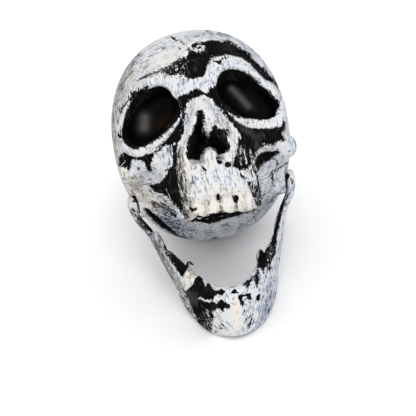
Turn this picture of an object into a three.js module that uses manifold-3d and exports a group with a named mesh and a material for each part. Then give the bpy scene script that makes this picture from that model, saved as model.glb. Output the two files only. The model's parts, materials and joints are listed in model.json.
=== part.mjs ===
// Hollow plastic skull with a swinging lower jaw, lying on the back of its head with its chin on the table.
// Skull frame: x across, y backwards, z up, with the hinge axis of the jaw through the origin.
// Formulas use "fore", the distance in front of that axis (fore = -y). Millimetres and degrees.
import * as THREE from "three";
import { mergeVertices } from "three/addons/utils/BufferGeometryUtils.js";
import Module from "manifold-3d";

// Braincase, a slightly squared egg
const vaultHalfWidth = 64.8;
const vaultHalfLength = 86;
const vaultHalfHeight = 73.5;
const vaultFore = -12;
const vaultRise = 0.66 * vaultHalfHeight;
const vaultSquareness = 2.2;

// Shallow hollow of each temple, behind the eye socket
const templeAcross = 1.173 * vaultHalfWidth;
const templeFore = 34;
const templeRise = 44;
const templeDepth = 16;
const templeHalfLength = 22;
const templeHalfHeight = 26;
const templeFillet = 8;

// Middle of the face: a stout column from the brow down to the palate
const faceAcross = 16;
const faceFore = 46;
const faceRise = 22;
const faceRadius = 24;
const palateAcross = 11;
const palateFore = 54;
const palateRise = -14;
const palateRadius = 20;
const faceFillet = 8;

// Upper jaw block, cut off below on a bite plane that climbs towards the back
const upperJawFore = 46;
const upperJawRise = -18;
const upperJawHalfWidth = 28.5;
const upperJawHalfLength = 36;
const upperJawHalfHeight = 28;
const upperJawSquareness = 2.6;
const biteFore = 82;
const biteRise = -45;
const biteSlope = 0.36;
const biteFillet = 2;
const upperJawFillet = 4;

// Upper teeth, four lumps a side along a half ellipse
const teethPerSide = 4;
const toothStep = 0.29;
const toothArchHalfWidth = 26.5;
const toothArchLength = 31;
const toothArchFore = 51;
const toothHalfWidth = 4.5;
const toothHalfDepth = 4.2;
const toothHalfHeight = 8.5;
const toothDrop = 1.5;
const toothFillet = 1.2;

// Cheekbones and the short arches that run back from them
const cheekAcross = 0.648 * vaultHalfWidth;
const cheekFore = 55;
const cheekRise = 12;
const cheekRadius = 8.5;
const archAcross = 0.82 * vaultHalfWidth;
const archFore = 42;
const archRise = 9;
const archRadius = 7.2;
const archEndAcross = 0.7716 * vaultHalfWidth;
const archEndFore = 15;
const archEndRise = 14;
const archEndRadius = 5;
const archFillet = 6;
const cheekFillet = 7;

// Nose bridge with two flared sides
const noseTopFore = 68;
const noseTopRise = 44;
const noseTopRadius = 7;
const noseTipFore = 80;
const noseTipRise = 22;
const noseTipRadius = 7;
const noseFlareStart = 3;
const noseFlareAcross = 17;
const noseFlareFore = 70;
const noseFlareRise = -5;
const noseFlareRadius = 5.5;
const noseFlareFillet = 5;
const noseFillet = 4;

// Eye sockets, skewed ovals that look outwards and a little up, each with a raised rim that thins at the temple
const socketAcross = 0.517 * vaultHalfWidth;
const socketFore = 60;
const socketRise = 39.5;
const socketTurn = 24;
const socketLean = 8;
const socketSkew = 0.3;
const socketHalfWidth = 21.5;
const socketHalfHeight = 20;
const socketDepth = 17.5;
const socketCentre = 2;
const socketWall = 5.5;
const socketSideWall = 1.5;
const socketSweep = 0.5;
const socketFlare = 3;
const socketMouth = 9;
const socketFillet = 4;
const rimOffset = 3;
const rimSideOffset = -1.5;
const rimRadius = 4.8;
const rimSideRadius = 3.7;
const rimFillet = 5;

// Shell wall, seam and eye cups
const wall = 2.4;
const fitGap = 0.3;
const seamTilt = 26;
const seamSetback = 42;
const lipThickness = 2;
const lipReach = 4;
const lipRoot = 5;
const cupWall = 2;
const cupSeat = 5;
const collarWall = 2;
const collarDepth = 11;

// Hinge: a boss on the shell, a washer, the ear of the jaw, a pin with its head sunk in the ear, and a push nut
const bossFace = 0.81 * vaultHalfWidth;
const bossInner = 0.648 * vaultHalfWidth;
const bossRadius = 9.5;
const recessRadius = 8.6;
const recessReach = 40;
const washerThickness = 0.8;
const washerRadius = 6.4;
const earThickness = 6.1;
const earRadius = 7;
const pinRadius = 2.2;
const boreRadius = 2.5;
const pinHeadRadius = 3.9;
const pinHeadHeight = 2.2;
const pinHeadSink = 1.9;
const pinTail = 1.7;
const nutThickness = 1.5;
const nutRadius = 5;
const boreOverrun = 10;
const earInner = bossFace + fitGap + washerThickness + fitGap;
const earOuter = earInner + earThickness;
const earMiddle = (earInner + earOuter) / 2;
const headSeat = earOuter - pinHeadSink;

// Lie of the object on the table: tipped back, on a flat pressed into the back of the head
const tipBack = 51.14;
const restFlatDepth = 3;

// Lower jaw plate from ear to chin, jaw shut.
// Each row: across, fore, rise, half breadth, breadth angle from fore to up, half thickness, outward lean
const jawPlate = [
  [earMiddle, 0, 0, 6.4, 0, 3, 0],
  [earMiddle - 1.2, 1, -9, 6.8, 5, 2.5, 0.02],
  [earMiddle - 9.5, 6.5, -22, 8.4, 18, 2.6, 0.05],
  [41.3, 18.5, -35.6, 15.6, 48, 3.1, 0.14],
  [37.2, 28.6, -42.5, 19.2, 55, 3.7, 0.16],
  [32.6, 40, -47.2, 21.6, 64, 4.5, 0.1],
  [25.2, 52.9, -57.6, 19.4, 74, 5.2, 0.05],
  [15, 66.5, -64.9, 18.4, 78, 5.8, 0.02],
  [0, 75.5, -66.6, 17.2, 83, 6.2, 0],
];

// Ridge that carried the lower teeth, from its back end to the chin, in the same columns
const jawRidge = [
  [24.8, 42, -41.2, 5.2, 84, 3.2, 0],
  [23.8, 54, -44.8, 5.2, 84, 3.5, 0],
  [18.6, 65.5, -48.8, 5.2, 84, 3.8, 0],
  [10.4, 74, -52, 5.2, 84, 4, 0],
  [0, 77.4, -53.2, 5.2, 84, 4, 0],
];

// Blade in front of each ear and the horn at each end of the tooth ridge, in the same columns
const jawBlade = [
  [40, 22, -36, 6.5, 0, 2.8, 0],
  [41.6, 27, -25, 5.2, 0, 2.5, 0],
  [44, 31, -15, 2.6, 0, 1.8, 0],
];
const jawHorn = [
  [24.8, 42.5, -41, 3.2, 0, 2.8, 0],
  [24.8, 43, -38, 2.5, 0, 2.3, 0],
  [24.9, 43.3, -35.6, 1.3, 0, 1.2, 0],
];

// Nose openings, outlines of across and rise, cut straight through the face
const leftNostril = [
  [-2.6, 22],
  [-7, 15],
  [-11, 5],
  [-14, -3],
  [-13, -7],
  [-8.5, -9],
  [-3.6, -7],
  [-2.2, 2],
  [-1.6, 12],
];
const rightNostril = [
  [4.6, 11],
  [9, 5],
  [13, -1],
  [12.6, -6],
  [8.5, -8.6],
  [4.2, -7.4],
  [2.4, -1],
  [2.6, 5],
];
const nostrilBackFore = 48;
const nostrilFrontFore = 104;

// Facets round and along each form
const outerSegments = 64;
const outerFrontRings = 30;
const outerBackRings = 11;
const innerSegments = 28;
const innerFrontRings = 9;
const innerBackRings = 7;
const socketSegments = 28;
const bowlRings = 6;
const turnedSegments = 20;
const coreFore = 10;
const coreRise = 22;

const wasm = await Module();
wasm.setup();

const radians = THREE.MathUtils.degToRad;
const hypot = Math.hypot;

// Distance to a squared egg: (|x/a|^p + |f/b|^p + |z/c|^p)^(1/p) = 1, to first order.
function egg([x, f, z], [cx, cf, cz], [a, b, c], power) {
  const u = Math.abs(x - cx) / a + 1e-6;
  const v = Math.abs(f - cf) / b + 1e-6;
  const w = Math.abs(z - cz) / c + 1e-6;
  const k = (u ** power + v ** power + w ** power) ** (1 / power);
  const q = power - 1;
  const slope = k ** -q * hypot(u ** q / a, v ** q / b, w ** q / c);
  return (k - 1) / slope;
}

// Distance to a limb whose radius runs evenly from one end to the other.
function limb([x, f, z], [ax, af, az], [bx, bf, bz], startRadius, endRadius) {
  const dx = bx - ax;
  const df = bf - af;
  const dz = bz - az;
  const along = ((x - ax) * dx + (f - af) * df + (z - az) * dz) / (dx * dx + df * df + dz * dz);
  const t = Math.min(1, Math.max(0, along));
  const gap = hypot(x - ax - dx * t, f - af - df * t, z - az - dz * t);
  return gap - startRadius - (endRadius - startRadius) * t;
}

// Two forms run together with a fillet of about the given size.
function merge(first, second, fillet) {
  const h = Math.min(1, Math.max(0, 0.5 + (0.5 * (second - first)) / fillet));
  return second + (first - second) * h - fillet * h * (1 - h);
}

// One form hollowed by another, with a softened edge.
function hollow(body, cutter, fillet) {
  return -merge(-body, cutter, fillet);
}

const turnCos = Math.cos(radians(socketTurn));
const turnSin = Math.sin(radians(socketTurn));
const leanCos = Math.cos(radians(socketLean));
const leanSin = Math.sin(radians(socketLean));

// Skull point to socket frame: across the opening, out along its axis, up the opening.
function toSocket([x, f, z]) {
  const dx = Math.abs(x) - socketAcross;
  const df = f - socketFore;
  const dz = z - socketRise;
  const outward = dx * turnSin + df * turnCos;
  const up = dz * leanCos - outward * leanSin;
  const across = dx * turnCos - df * turnSin + socketSkew * up;
  return [across, dz * leanSin + outward * leanCos, up];
}

// Socket frame back to a skull point on the side of the given sign.
function fromSocket([across, out, up], side) {
  const dz = up * leanCos + out * leanSin;
  const outward = out * leanCos - up * leanSin;
  const level = across - socketSkew * up;
  const x = socketAcross + level * turnCos + outward * turnSin;
  const fore = socketFore - level * turnSin + outward * turnCos;
  return new THREE.Vector3(side * x, -fore, socketRise + dz);
}

// Smooth hollow body of the skull: braincase, face column and upper jaw.
function plainForm(p) {
  const [x, f, z] = p;
  const mirrored = [Math.abs(x), f, z];
  const vault = egg(
    p,
    [0, vaultFore, vaultRise],
    [vaultHalfWidth, vaultHalfLength, vaultHalfHeight],
    vaultSquareness,
  );
  const temple = egg(
    mirrored,
    [templeAcross, templeFore, templeRise],
    [templeDepth, templeHalfLength, templeHalfHeight],
    2,
  );
  const face = limb(
    mirrored,
    [faceAcross, faceFore, faceRise],
    [palateAcross, palateFore, palateRise],
    faceRadius,
    palateRadius,
  );
  const block = egg(
    p,
    [0, upperJawFore, upperJawRise],
    [upperJawHalfWidth, upperJawHalfLength, upperJawHalfHeight],
    upperJawSquareness,
  );
  const belowBite = (biteRise + biteSlope * (biteFore - f) - z) / hypot(1, biteSlope);
  const upperJaw = -merge(-block, -belowBite, biteFillet);
  const braincase = hollow(vault, temple, templeFillet);
  return merge(merge(braincase, face, faceFillet), upperJaw, upperJawFillet);
}

// Outside of the skull: the smooth body with cheekbones, socket rims, nose and teeth raised on it.
function reliefForm(p) {
  const [x, f, z] = p;
  const mirrored = [Math.abs(x), f, z];
  const cheek = limb(
    mirrored,
    [cheekAcross, cheekFore, cheekRise],
    [archAcross, archFore, archRise],
    cheekRadius,
    archRadius,
  );
  const arch = limb(
    mirrored,
    [archAcross, archFore, archRise],
    [archEndAcross, archEndFore, archEndRise],
    archRadius,
    archEndRadius,
  );
  let form = merge(plainForm(p), merge(cheek, arch, archFillet), cheekFillet);
  const socket = toSocket(p);
  const [socketX, socketOut, socketUp] = socket;
  const meanRadius = (socketHalfWidth + socketHalfHeight) / 2;
  const oval = (hypot(socketX / socketHalfWidth, socketUp / socketHalfHeight) - 1) * meanRadius;
  const behind = socketCentre - socketOut;
  const sideways = Math.min(1, Math.max(0, socketX / socketHalfWidth));
  const toTemple = sideways * sideways;
  const wallThere = socketWall + (socketSideWall - socketWall) * toTemple;
  const funnel = oval - wallThere - socketSweep * Math.max(0, behind) * sideways;
  form = merge(form, Math.max(funnel * 0.85, -behind, behind - socketDepth), socketFillet);
  const rimPlace = rimOffset + (rimSideOffset - rimOffset) * toTemple;
  const rim = hypot(oval - rimPlace, behind) - rimRadius - (rimSideRadius - rimRadius) * toTemple;
  form = merge(form, rim, rimFillet);
  const bridge = limb(
    p,
    [0, noseTopFore, noseTopRise],
    [0, noseTipFore, noseTipRise],
    noseTopRadius,
    noseTipRadius,
  );
  const flare = limb(
    mirrored,
    [noseFlareStart, noseTipFore, noseTipRise],
    [noseFlareAcross, noseFlareFore, noseFlareRise],
    noseFlareRadius,
    noseFlareRadius,
  );
  form = merge(form, merge(bridge, flare, noseFlareFillet), noseFillet);
  for (let i = 0; i < teethPerSide; i += 1) {
    const turn = (i + 0.5) * toothStep;
    const toothFore = toothArchFore + toothArchLength * Math.cos(turn);
    const bite = biteRise + biteSlope * (biteFore - toothFore);
    const tooth = egg(
      mirrored,
      [toothArchHalfWidth * Math.sin(turn), toothFore, bite - toothDrop + toothHalfHeight],
      [toothHalfWidth, toothHalfDepth, toothHalfHeight],
      2,
    );
    form = merge(form, tooth, toothFillet);
  }
  return form;
}

// Closed solid from a geometry whose faces already meet.
function solidOf(geometry) {
  const bare = geometry.clone();
  bare.deleteAttribute("normal");
  bare.deleteAttribute("uv");
  const joined = mergeVertices(bare, 1e-4);
  return new wasm.Manifold(
    new wasm.Mesh({
      numProp: 3,
      vertProperties: new Float32Array(joined.attributes.position.array),
      triVerts: new Uint32Array(joined.index.array),
    }),
  );
}

// Closed geometry through a list of rings of points, with a fan to a point at each end.
function skin(rings, startPoint, endPoint) {
  const count = rings[0].length;
  const points = [startPoint, ...rings.flat(), endPoint];
  const index = [];
  for (let j = 0; j < count; j += 1) {
    const next = (j + 1) % count;
    index.push(0, 1 + next, 1 + j);
    for (let i = 0; i + 1 < rings.length; i += 1) {
      const a = 1 + i * count;
      const b = a + count;
      index.push(a + j, a + next, b + j, a + next, b + next, b + j);
    }
    const last = 1 + (rings.length - 1) * count;
    index.push(last + j, last + next, points.length - 1);
  }
  return new THREE.BufferGeometry().setFromPoints(points).setIndex(index);
}

// Surface of a form pushed inwards by a depth, seen from the core of the skull, on rings about the fore axis.
function castForm(form, depth, segments, frontRings, backRings) {
  const level = (p) => form(p) + depth;
  const reach = (dx, df, dz) => {
    const at = (r) => level([dx * r, coreFore + df * r, coreRise + dz * r]);
    let outside = 2.5 * vaultHalfLength;
    let gap = at(outside);
    while (gap > 0.02 && outside > 4) {
      outside -= Math.max(0.25, 0.7 * gap);
      gap = at(outside);
    }
    let inside = outside;
    outside += 1.5;
    for (let i = 0; i < 14; i += 1) {
      const middle = (inside + outside) / 2;
      if (at(middle) > 0) outside = middle;
      else inside = middle;
    }
    return new THREE.Vector3(dx * inside, -coreFore - df * inside, coreRise + dz * inside);
  };
  const turns = [];
  for (let i = 1; i <= frontRings; i += 1) turns.push((78 * i) / frontRings);
  for (let i = 1; i < backRings; i += 1) turns.push(78 + (102 * i) / backRings);
  const rings = turns.map((turn) => {
    const ring = [];
    for (let j = 0; j < segments; j += 1) {
      const round = (-(j + 0.5) / segments) * 2 * Math.PI;
      const spread = Math.sin(radians(turn));
      ring.push(reach(spread * Math.cos(round), Math.cos(radians(turn)), spread * Math.sin(round)));
    }
    return ring;
  });
  return solidOf(skin(rings, reach(0, 1, 0), reach(0, -1, 0)));
}

// Solid of a skewed oval socket form, from a profile of rows: growth of the opening's half sizes, place on its axis.
function socketSolid(profile, side) {
  const rings = profile.slice(1, -1).map(([grow, share, out]) => {
    const ring = [];
    for (let j = 0; j < socketSegments; j += 1) {
      const round = (side * j * 2 * Math.PI) / socketSegments;
      const across = (socketHalfWidth + grow) * share * Math.cos(round);
      const up = (socketHalfHeight + grow) * share * Math.sin(round);
      ring.push(fromSocket([across, out, up], side));
    }
    return ring;
  });
  const start = fromSocket([0, profile[0][2], 0], side);
  const end = fromSocket([0, profile[profile.length - 1][2], 0], side);
  return solidOf(skin(rings, start, end));
}

// Rows of a bowl that is larger than the socket by a margin, from its bottom up to a given place on the axis.
function bowlRows(margin, top) {
  const rows = [[margin, 0, socketCentre - socketDepth - margin]];
  const last = Math.acos((socketCentre - top) / (socketDepth + margin));
  for (let i = 1; i <= bowlRings; i += 1) {
    const turn = (last * i) / bowlRings;
    rows.push([margin, Math.sin(turn), socketCentre - (socketDepth + margin) * Math.cos(turn)]);
  }
  return rows;
}

// Round solid about the across axis, from a profile of rows: radius, place across.
function turned(profile, side) {
  const points = profile.map(([radius, place]) => new THREE.Vector2(radius, place));
  const geometry = new THREE.LatheGeometry(points, turnedSegments);
  return solidOf(geometry.rotateZ((-side * Math.PI) / 2));
}

// Full round bar about the across axis between two places.
function bar(radius, from, to, side) {
  const profile = [
    [0, from],
    [radius, from],
    [radius, to],
    [0, to],
  ];
  return turned(profile, side);
}

// Box that covers everything on one side of a plane of the given normal, fore part and rise part, and distance.
function halfSpace(normalFore, normalRise, distance) {
  const size = 800;
  const box = new THREE.BoxGeometry(size, size, size).translate(0, 0, size / 2 + distance);
  return solidOf(box.rotateX(Math.atan2(normalFore, normalRise)));
}

// Smooth curve through the rows of a table (Catmull-Rom), at a place from 0 to 1.
function rowAt(table, place) {
  const t = place * (table.length - 1);
  const i = Math.min(Math.floor(t), table.length - 2);
  const u = t - i;
  const row = (k) => table[k];
  return table[0].map((_, c) => {
    const p1 = row(i)[c];
    const p2 = row(i + 1)[c];
    const p0 = i > 0 ? row(i - 1)[c] : 2 * p1 - p2;
    const beyond = table[table.length - 1][0] === 0 && (c === 0 || c === 6) ? -row(i)[c] : row(i)[c];
    const closing = table[table.length - 1][0] === 0 ? beyond : 2 * p2 - p1;
    const p3 = i + 2 < table.length ? row(i + 2)[c] : closing;
    const cubic = 3 * p1 - p0 - 3 * p2 + p3;
    const square = 2 * p0 - 5 * p1 + 4 * p2 - p3;
    return 0.5 * (2 * p1 + (p2 - p0) * u + square * u * u + cubic * u * u * u);
  });
}

// Rings of a flat bar with rounded corners, swept along a table of rows on the right-hand side.
function sweepRings(table, steps, corners) {
  const rings = [];
  const pointOf = (row) => new THREE.Vector3(row[0], -row[1], row[2]);
  const rounded = (value) => Math.sign(value) * Math.abs(value) ** 0.72;
  for (let i = 0; i <= steps; i += 1) {
    const place = i / steps;
    const row = rowAt(table, place);
    const ahead = pointOf(rowAt(table, Math.min(1, place + 0.004)));
    const behind = pointOf(rowAt(table, Math.max(0, place - 0.004)));
    const along = ahead.sub(behind);
    if (table[table.length - 1][0] === 0 && i === steps) along.set(-1, 0, 0);
    along.normalize();
    const angle = radians(row[4]);
    const breadth = new THREE.Vector3(row[6], -Math.cos(angle), Math.sin(angle));
    breadth.addScaledVector(along, -breadth.dot(along)).normalize();
    const thickness = new THREE.Vector3().crossVectors(along, breadth);
    const ring = [];
    for (let j = 0; j < corners; j += 1) {
      const round = (j * 2 * Math.PI) / corners;
      const point = pointOf(row);
      point.addScaledVector(breadth, row[3] * rounded(Math.cos(round)));
      point.addScaledVector(thickness, row[5] * rounded(Math.sin(round)));
      ring.push(point);
    }
    rings.push(ring);
  }
  return rings;
}

const across = (point) => new THREE.Vector3(-point.x, point.y, point.z);
const middle = (ring) => ring.reduce((sum, p) => sum.add(p), new THREE.Vector3()).divideScalar(ring.length);

// Swept bar that runs from one side through the middle of the chin to the other.
function archSolid(table, steps, corners) {
  const right = sweepRings(table, steps, corners);
  const left = right.slice(0, -1).map((ring) => ring.map(across));
  const rings = [...right, ...left.reverse()];
  return solidOf(skin(rings, middle(rings[0]), middle(rings[rings.length - 1])));
}

// Swept bar on one side only, closed at both ends.
function limbSolid(table, steps, corners, side) {
  let rings = sweepRings(table, steps, corners);
  if (side < 0) rings = rings.map((ring) => ring.map(across).reverse());
  return solidOf(skin(rings, middle(rings[0]), middle(rings[rings.length - 1])));
}

// Prism through the face on an outline of across and rise.
function facePrism(outline) {
  const shape = new THREE.Shape(outline.map(([x, z]) => new THREE.Vector2(x, z)));
  const depth = nostrilFrontFore - nostrilBackFore;
  const prism = new THREE.ExtrudeGeometry(shape, { depth, bevelEnabled: false });
  return solidOf(prism.rotateX(Math.PI / 2).translate(0, -nostrilBackFore, 0));
}

// Lowest height of a solid once the skull is tipped back, with the solid first turned on the hinge.
function lowest(solid, opening) {
  const turn = new THREE.Matrix4().makeRotationX(radians(opening - tipBack));
  const { numProp, vertProperties } = solid.getMesh();
  const point = new THREE.Vector3();
  let low = Infinity;
  for (let i = 0; i < vertProperties.length; i += numProp) {
    low = Math.min(low, point.fromArray(vertProperties, i).applyMatrix4(turn).z);
  }
  return low;
}

const sides = [-1, 1];

// Shell, outside and inside, with the hinge bosses, their recesses and bores
const outside = castForm(reliefForm, 0, outerSegments, outerFrontRings, outerBackRings);
const inside = (depth) => castForm(plainForm, depth, innerSegments, innerFrontRings, innerBackRings);
const floorLevel = lowest(outside, 0) + restFlatDepth;
const downFore = -Math.sin(radians(tipBack));
const downRise = -Math.cos(radians(tipBack));
const cavity = inside(wall).subtract(halfSpace(downFore, downRise, -floorLevel - wall));
let shell = outside.subtract(halfSpace(downFore, downRise, -floorLevel)).subtract(cavity);
for (const side of sides) {
  shell = shell.add(bar(bossRadius, bossInner, bossFace, side));
  shell = shell.subtract(bar(recessRadius, bossFace, bossFace + recessReach, side));
  shell = shell.subtract(bar(boreRadius, bossInner - boreOverrun, bossFace + boreOverrun, side));
}

// Eye openings: a collar behind each rim, a flared mouth and a wider seat in the collar for the cup
const seatTop = socketCentre - cupSeat;
const seatShare = Math.sin(Math.acos(cupSeat / socketDepth));
for (const side of sides) {
  const collarMargin = cupWall + fitGap + collarWall;
  const collarRows = bowlRows(collarMargin, socketCentre).filter((row) => row[2] > socketCentre - collarDepth);
  const collarEnds = [collarRows[0], collarRows[collarRows.length - 1]].map((row) => [0, 0, row[2]]);
  const collar = socketSolid([collarEnds[0], ...collarRows, collarEnds[1]], side);
  shell = shell.add(collar.intersect(outside));
  const rows = bowlRows(cupWall + fitGap, seatTop);
  rows.push([0, seatShare, seatTop]);
  rows.push([0, 1, socketCentre]);
  rows.push([socketFlare, 1, socketCentre + socketMouth]);
  rows.push([0, 0, socketCentre + socketMouth]);
  shell = shell.subtract(socketSolid(rows, side));
}
shell = shell.subtract(facePrism(leftNostril)).subtract(facePrism(rightNostril));

// Front and rear halves of the shell, the rear with a lip that plugs into the front
const seamFore = Math.cos(radians(seamTilt));
const seamRise = -Math.sin(radians(seamTilt));
const ahead = (place) => halfSpace(seamFore, seamRise, -seamSetback + place);
const faceSolid = shell.intersect(ahead(fitGap / 2));
const lipOuter = inside(wall + fitGap);
const lipInner = inside(wall + fitGap + lipThickness);
const lipBed = inside(wall / 2).subtract(ahead(-fitGap / 2)).add(lipOuter);
const lip = lipBed.subtract(lipInner).intersect(ahead(-lipRoot)).subtract(ahead(lipReach));
const rearSolid = shell.subtract(ahead(-fitGap / 2)).add(lip);

// Lower jaw, shut, in one piece with its ears
let jawSolid = archSolid(jawPlate, 24, 12).add(archSolid(jawRidge, 12, 8));
for (const side of sides) {
  jawSolid = jawSolid.add(limbSolid(jawBlade, 5, 8, side));
  jawSolid = jawSolid.add(limbSolid(jawHorn, 4, 8, side));
  jawSolid = jawSolid.add(bar(earRadius, earInner, earOuter, side));
  jawSolid = jawSolid.subtract(bar(boreRadius, earInner - boreOverrun, earOuter + boreOverrun, side));
  jawSolid = jawSolid.subtract(bar(pinHeadRadius + fitGap, headSeat, earOuter + boreOverrun, side));
}

// The jaw hangs open until the chin meets the table
let shut = 0;
let wide = 60;
for (let i = 0; i < 40; i += 1) {
  const half = (shut + wide) / 2;
  if (lowest(jawSolid, half) > floorLevel) shut = half;
  else wide = half;
}
const jawOpening = shut;

const paintedBlack = new THREE.MeshStandardMaterial({ color: 0xd6d6d3, roughness: 0.55, metalness: 0 });
const glossBlack = new THREE.MeshStandardMaterial({ color: 0x0e0e10, roughness: 0.25, metalness: 0 });
const nylon = new THREE.MeshStandardMaterial({ color: 0x1a1a1c, roughness: 0.5, metalness: 0 });
const steel = new THREE.MeshStandardMaterial({ color: 0x8d9094, roughness: 0.4, metalness: 0.9 });

// Named mesh of a solid.
function piece(name, solid, material) {
  const { numProp, vertProperties, triVerts } = solid.getMesh();
  const geometry = new THREE.BufferGeometry();
  const points = new THREE.InterleavedBuffer(vertProperties, numProp);
  geometry.setAttribute("position", new THREE.InterleavedBufferAttribute(points, 3, 0));
  geometry.setIndex(new THREE.BufferAttribute(new Uint32Array(triVerts), 1));
  geometry.computeVertexNormals();
  const mesh = new THREE.Mesh(geometry, material.clone());
  mesh.name = name;
  return mesh;
}

const skull = new THREE.Group();
skull.add(piece("face_shell", faceSolid, paintedBlack));
skull.add(piece("rear_shell", rearSolid, paintedBlack));
for (const side of sides) {
  const hand = side < 0 ? "left" : "right";
  const cupRows = bowlRows(cupWall, seatTop - fitGap);
  const cupInside = bowlRows(0, seatTop - fitGap).reverse();
  skull.add(piece(`eye_cup_${hand}`, socketSolid([...cupRows, ...cupInside], side), glossBlack));
  const tail = bossInner - fitGap - nutThickness - pinTail;
  const neck = headSeat + fitGap;
  const pinProfile = [
    [0, tail],
    [pinRadius, tail],
    [pinRadius, neck],
    [pinHeadRadius, neck],
    [pinHeadRadius, neck + pinHeadHeight / 2],
    [pinHeadRadius * 0.7, neck + pinHeadHeight],
    [0, neck + pinHeadHeight],
  ];
  skull.add(piece(`hinge_pin_${hand}`, turned(pinProfile, side), glossBlack));
  const washerStart = bossFace + fitGap;
  const washer = bar(washerRadius, washerStart, washerStart + washerThickness, side);
  const washerBore = bar(boreRadius, bossFace - 2, earInner + 2, side);
  skull.add(piece(`friction_washer_${hand}`, washer.subtract(washerBore), nylon));
  const nutEnd = bossInner - fitGap;
  const nut = bar(nutRadius, nutEnd - nutThickness, nutEnd, side);
  const nutBore = bar(boreRadius, tail - 2, bossInner + 2, side);
  skull.add(piece(`push_nut_${hand}`, nut.subtract(nutBore), steel));
}

const jaw = new THREE.Group();
jaw.add(piece("jaw", jawSolid, paintedBlack));
jaw.rotation.x = radians(jawOpening);
skull.add(jaw);
skull.rotation.x = radians(-tipBack);
skull.updateMatrixWorld(true);

// Stand the skull on the table, centred on its own box
const box = new THREE.Box3().setFromObject(skull, true);
const centre = box.getCenter(new THREE.Vector3());
skull.position.set(-centre.x, -centre.y, -floorLevel);

const decoration = new THREE.Group();
decoration.add(skull);
export default decoration;
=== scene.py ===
import json
import math
import re

import bpy
import numpy as np
from mathutils import Matrix


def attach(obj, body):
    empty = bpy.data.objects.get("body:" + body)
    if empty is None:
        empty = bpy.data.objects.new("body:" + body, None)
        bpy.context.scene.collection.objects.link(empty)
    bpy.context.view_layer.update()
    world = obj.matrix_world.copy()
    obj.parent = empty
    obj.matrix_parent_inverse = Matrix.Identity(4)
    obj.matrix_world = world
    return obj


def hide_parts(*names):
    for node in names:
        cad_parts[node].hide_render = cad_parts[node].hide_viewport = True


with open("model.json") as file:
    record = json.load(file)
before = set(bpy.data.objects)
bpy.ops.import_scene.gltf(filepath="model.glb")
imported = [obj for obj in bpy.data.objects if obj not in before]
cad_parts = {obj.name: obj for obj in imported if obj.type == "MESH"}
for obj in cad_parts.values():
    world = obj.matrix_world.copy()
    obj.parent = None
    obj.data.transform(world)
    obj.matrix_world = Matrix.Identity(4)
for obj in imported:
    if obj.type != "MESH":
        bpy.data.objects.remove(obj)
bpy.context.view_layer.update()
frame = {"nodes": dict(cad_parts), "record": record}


# Viewpoint of the photograph
# A long lens a little under a metre off, about thirty degrees above the table and tilted a little.
# Its place is given in the skull's own axes (across, fore, rise, in mm) with the jaw hinge at the origin.
tip_back = math.radians(51.14)
hinge = np.array(frame["record"]["behaviour"]["joints"][0]["pos_m"])
view_distance, view_focus = 900.0, 1255.5
pixel_size = view_distance / view_focus
photo_middle = 208
hinge_pixel = (211.6, 192.2)
view_yaw, view_pitch, view_roll = np.radians([2.4, 20.0, -10.36])
level_view = np.array([-math.sin(view_yaw), math.cos(view_yaw), 0.0])
level_right = np.array([math.cos(view_yaw), math.sin(view_yaw), 0.0])
to_view = level_view * math.cos(view_pitch) - np.array([0.0, 0.0, math.sin(view_pitch)])
level_up = np.cross(level_right, to_view)
level_up *= np.sign(level_up[2])
view_right = level_right * math.cos(view_roll) + level_up * math.sin(view_roll)
view_up = level_up * math.cos(view_roll) - level_right * math.sin(view_roll)


def laid(points):
    """Skull axes in mm to the table frame in metres: tipped back about the hinge, then set at its place."""
    x, f, z = np.moveaxis(np.asarray(points, float), -1, 0)
    c, s = math.cos(tip_back), math.sin(tip_back)
    return np.stack([x, z * s - f * c, f * s + z * c], -1) / 1000 + hinge


def pixels(points):
    """Pixel that a skull point falls on in the photograph: its offset from the hinge over its distance."""
    near = view_focus / (view_distance - points @ to_view)
    return hinge_pixel[0] + points @ view_right * near, hinge_pixel[1] - points @ view_up * near


def from_pixel(u, v):
    """Skull point that falls on a pixel, on the picture plane through the hinge: the reverse of pixels."""
    right, down = (np.asarray(q)[..., None] * pixel_size for q in (u - hinge_pixel[0], v - hinge_pixel[1]))
    return right * view_right - down * view_up


lens = bpy.data.cameras.new("photo_lens")
lens.sensor_fit = "HORIZONTAL"
lens.angle = 2 * math.atan(photo_middle / view_focus)
eye = laid(to_view * view_distance)
aim = laid(from_pixel(photo_middle, photo_middle))
back = (eye - aim) / np.linalg.norm(eye - aim)
side = laid(view_right) - laid(np.zeros(3))
side -= back * (side @ back)
side /= np.linalg.norm(side)
camera = bpy.data.objects.new("photo_camera", lens)
camera_axes = np.column_stack([side, np.cross(back, side), back, eye])
camera.matrix_world = Matrix(np.vstack([camera_axes, [0, 0, 0, 1]]).tolist())
bpy.context.collection.objects.link(camera)
bpy.context.scene.camera = camera


# Front shell
# Moulded black plastic, hollow, with the face, the brow and the upper teeth raised on it in one piece.
# White paint is dry-brushed over the high places, so the furrows stay black; it is glued to the rear shell.
vault = dict(centre=(0, -12, 48.51), half=(64.8, 86, 73.5), power=2.2)
temple = dict(centre=(76.01, 34, 44), half=(16, 22, 26), power=2)
face_column = dict(start=(16, 46, 22), end=(11, 54, -14), start_radius=24, end_radius=20)
upper_jaw = dict(centre=(0, 46, -18), half=(28.5, 36, 28), power=2.6)
cheekbone = dict(start=(41.99, 55, 12), end=(53.14, 42, 9), start_radius=8.5, end_radius=7.2)
cheek_arch = dict(start=cheekbone["end"], end=(50, 15, 14), start_radius=7.2, end_radius=5)
nose_bridge = dict(start=(0, 68, 44), end=(0, 80, 22), start_radius=7, end_radius=7)
nose_side = dict(start=(3, 80, 22), end=(17, 70, -5), start_radius=5.5, end_radius=5.5)
nose_knob = dict(start=(0.3, 78.4, -3.5), end=(-1.5, 79, -15), start_radius=4.4, end_radius=3.6)
nose_lump = dict(centre=(12.6, 76.6, -5.8), half=(4.8, 4.4, 3.8), power=2)
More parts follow.
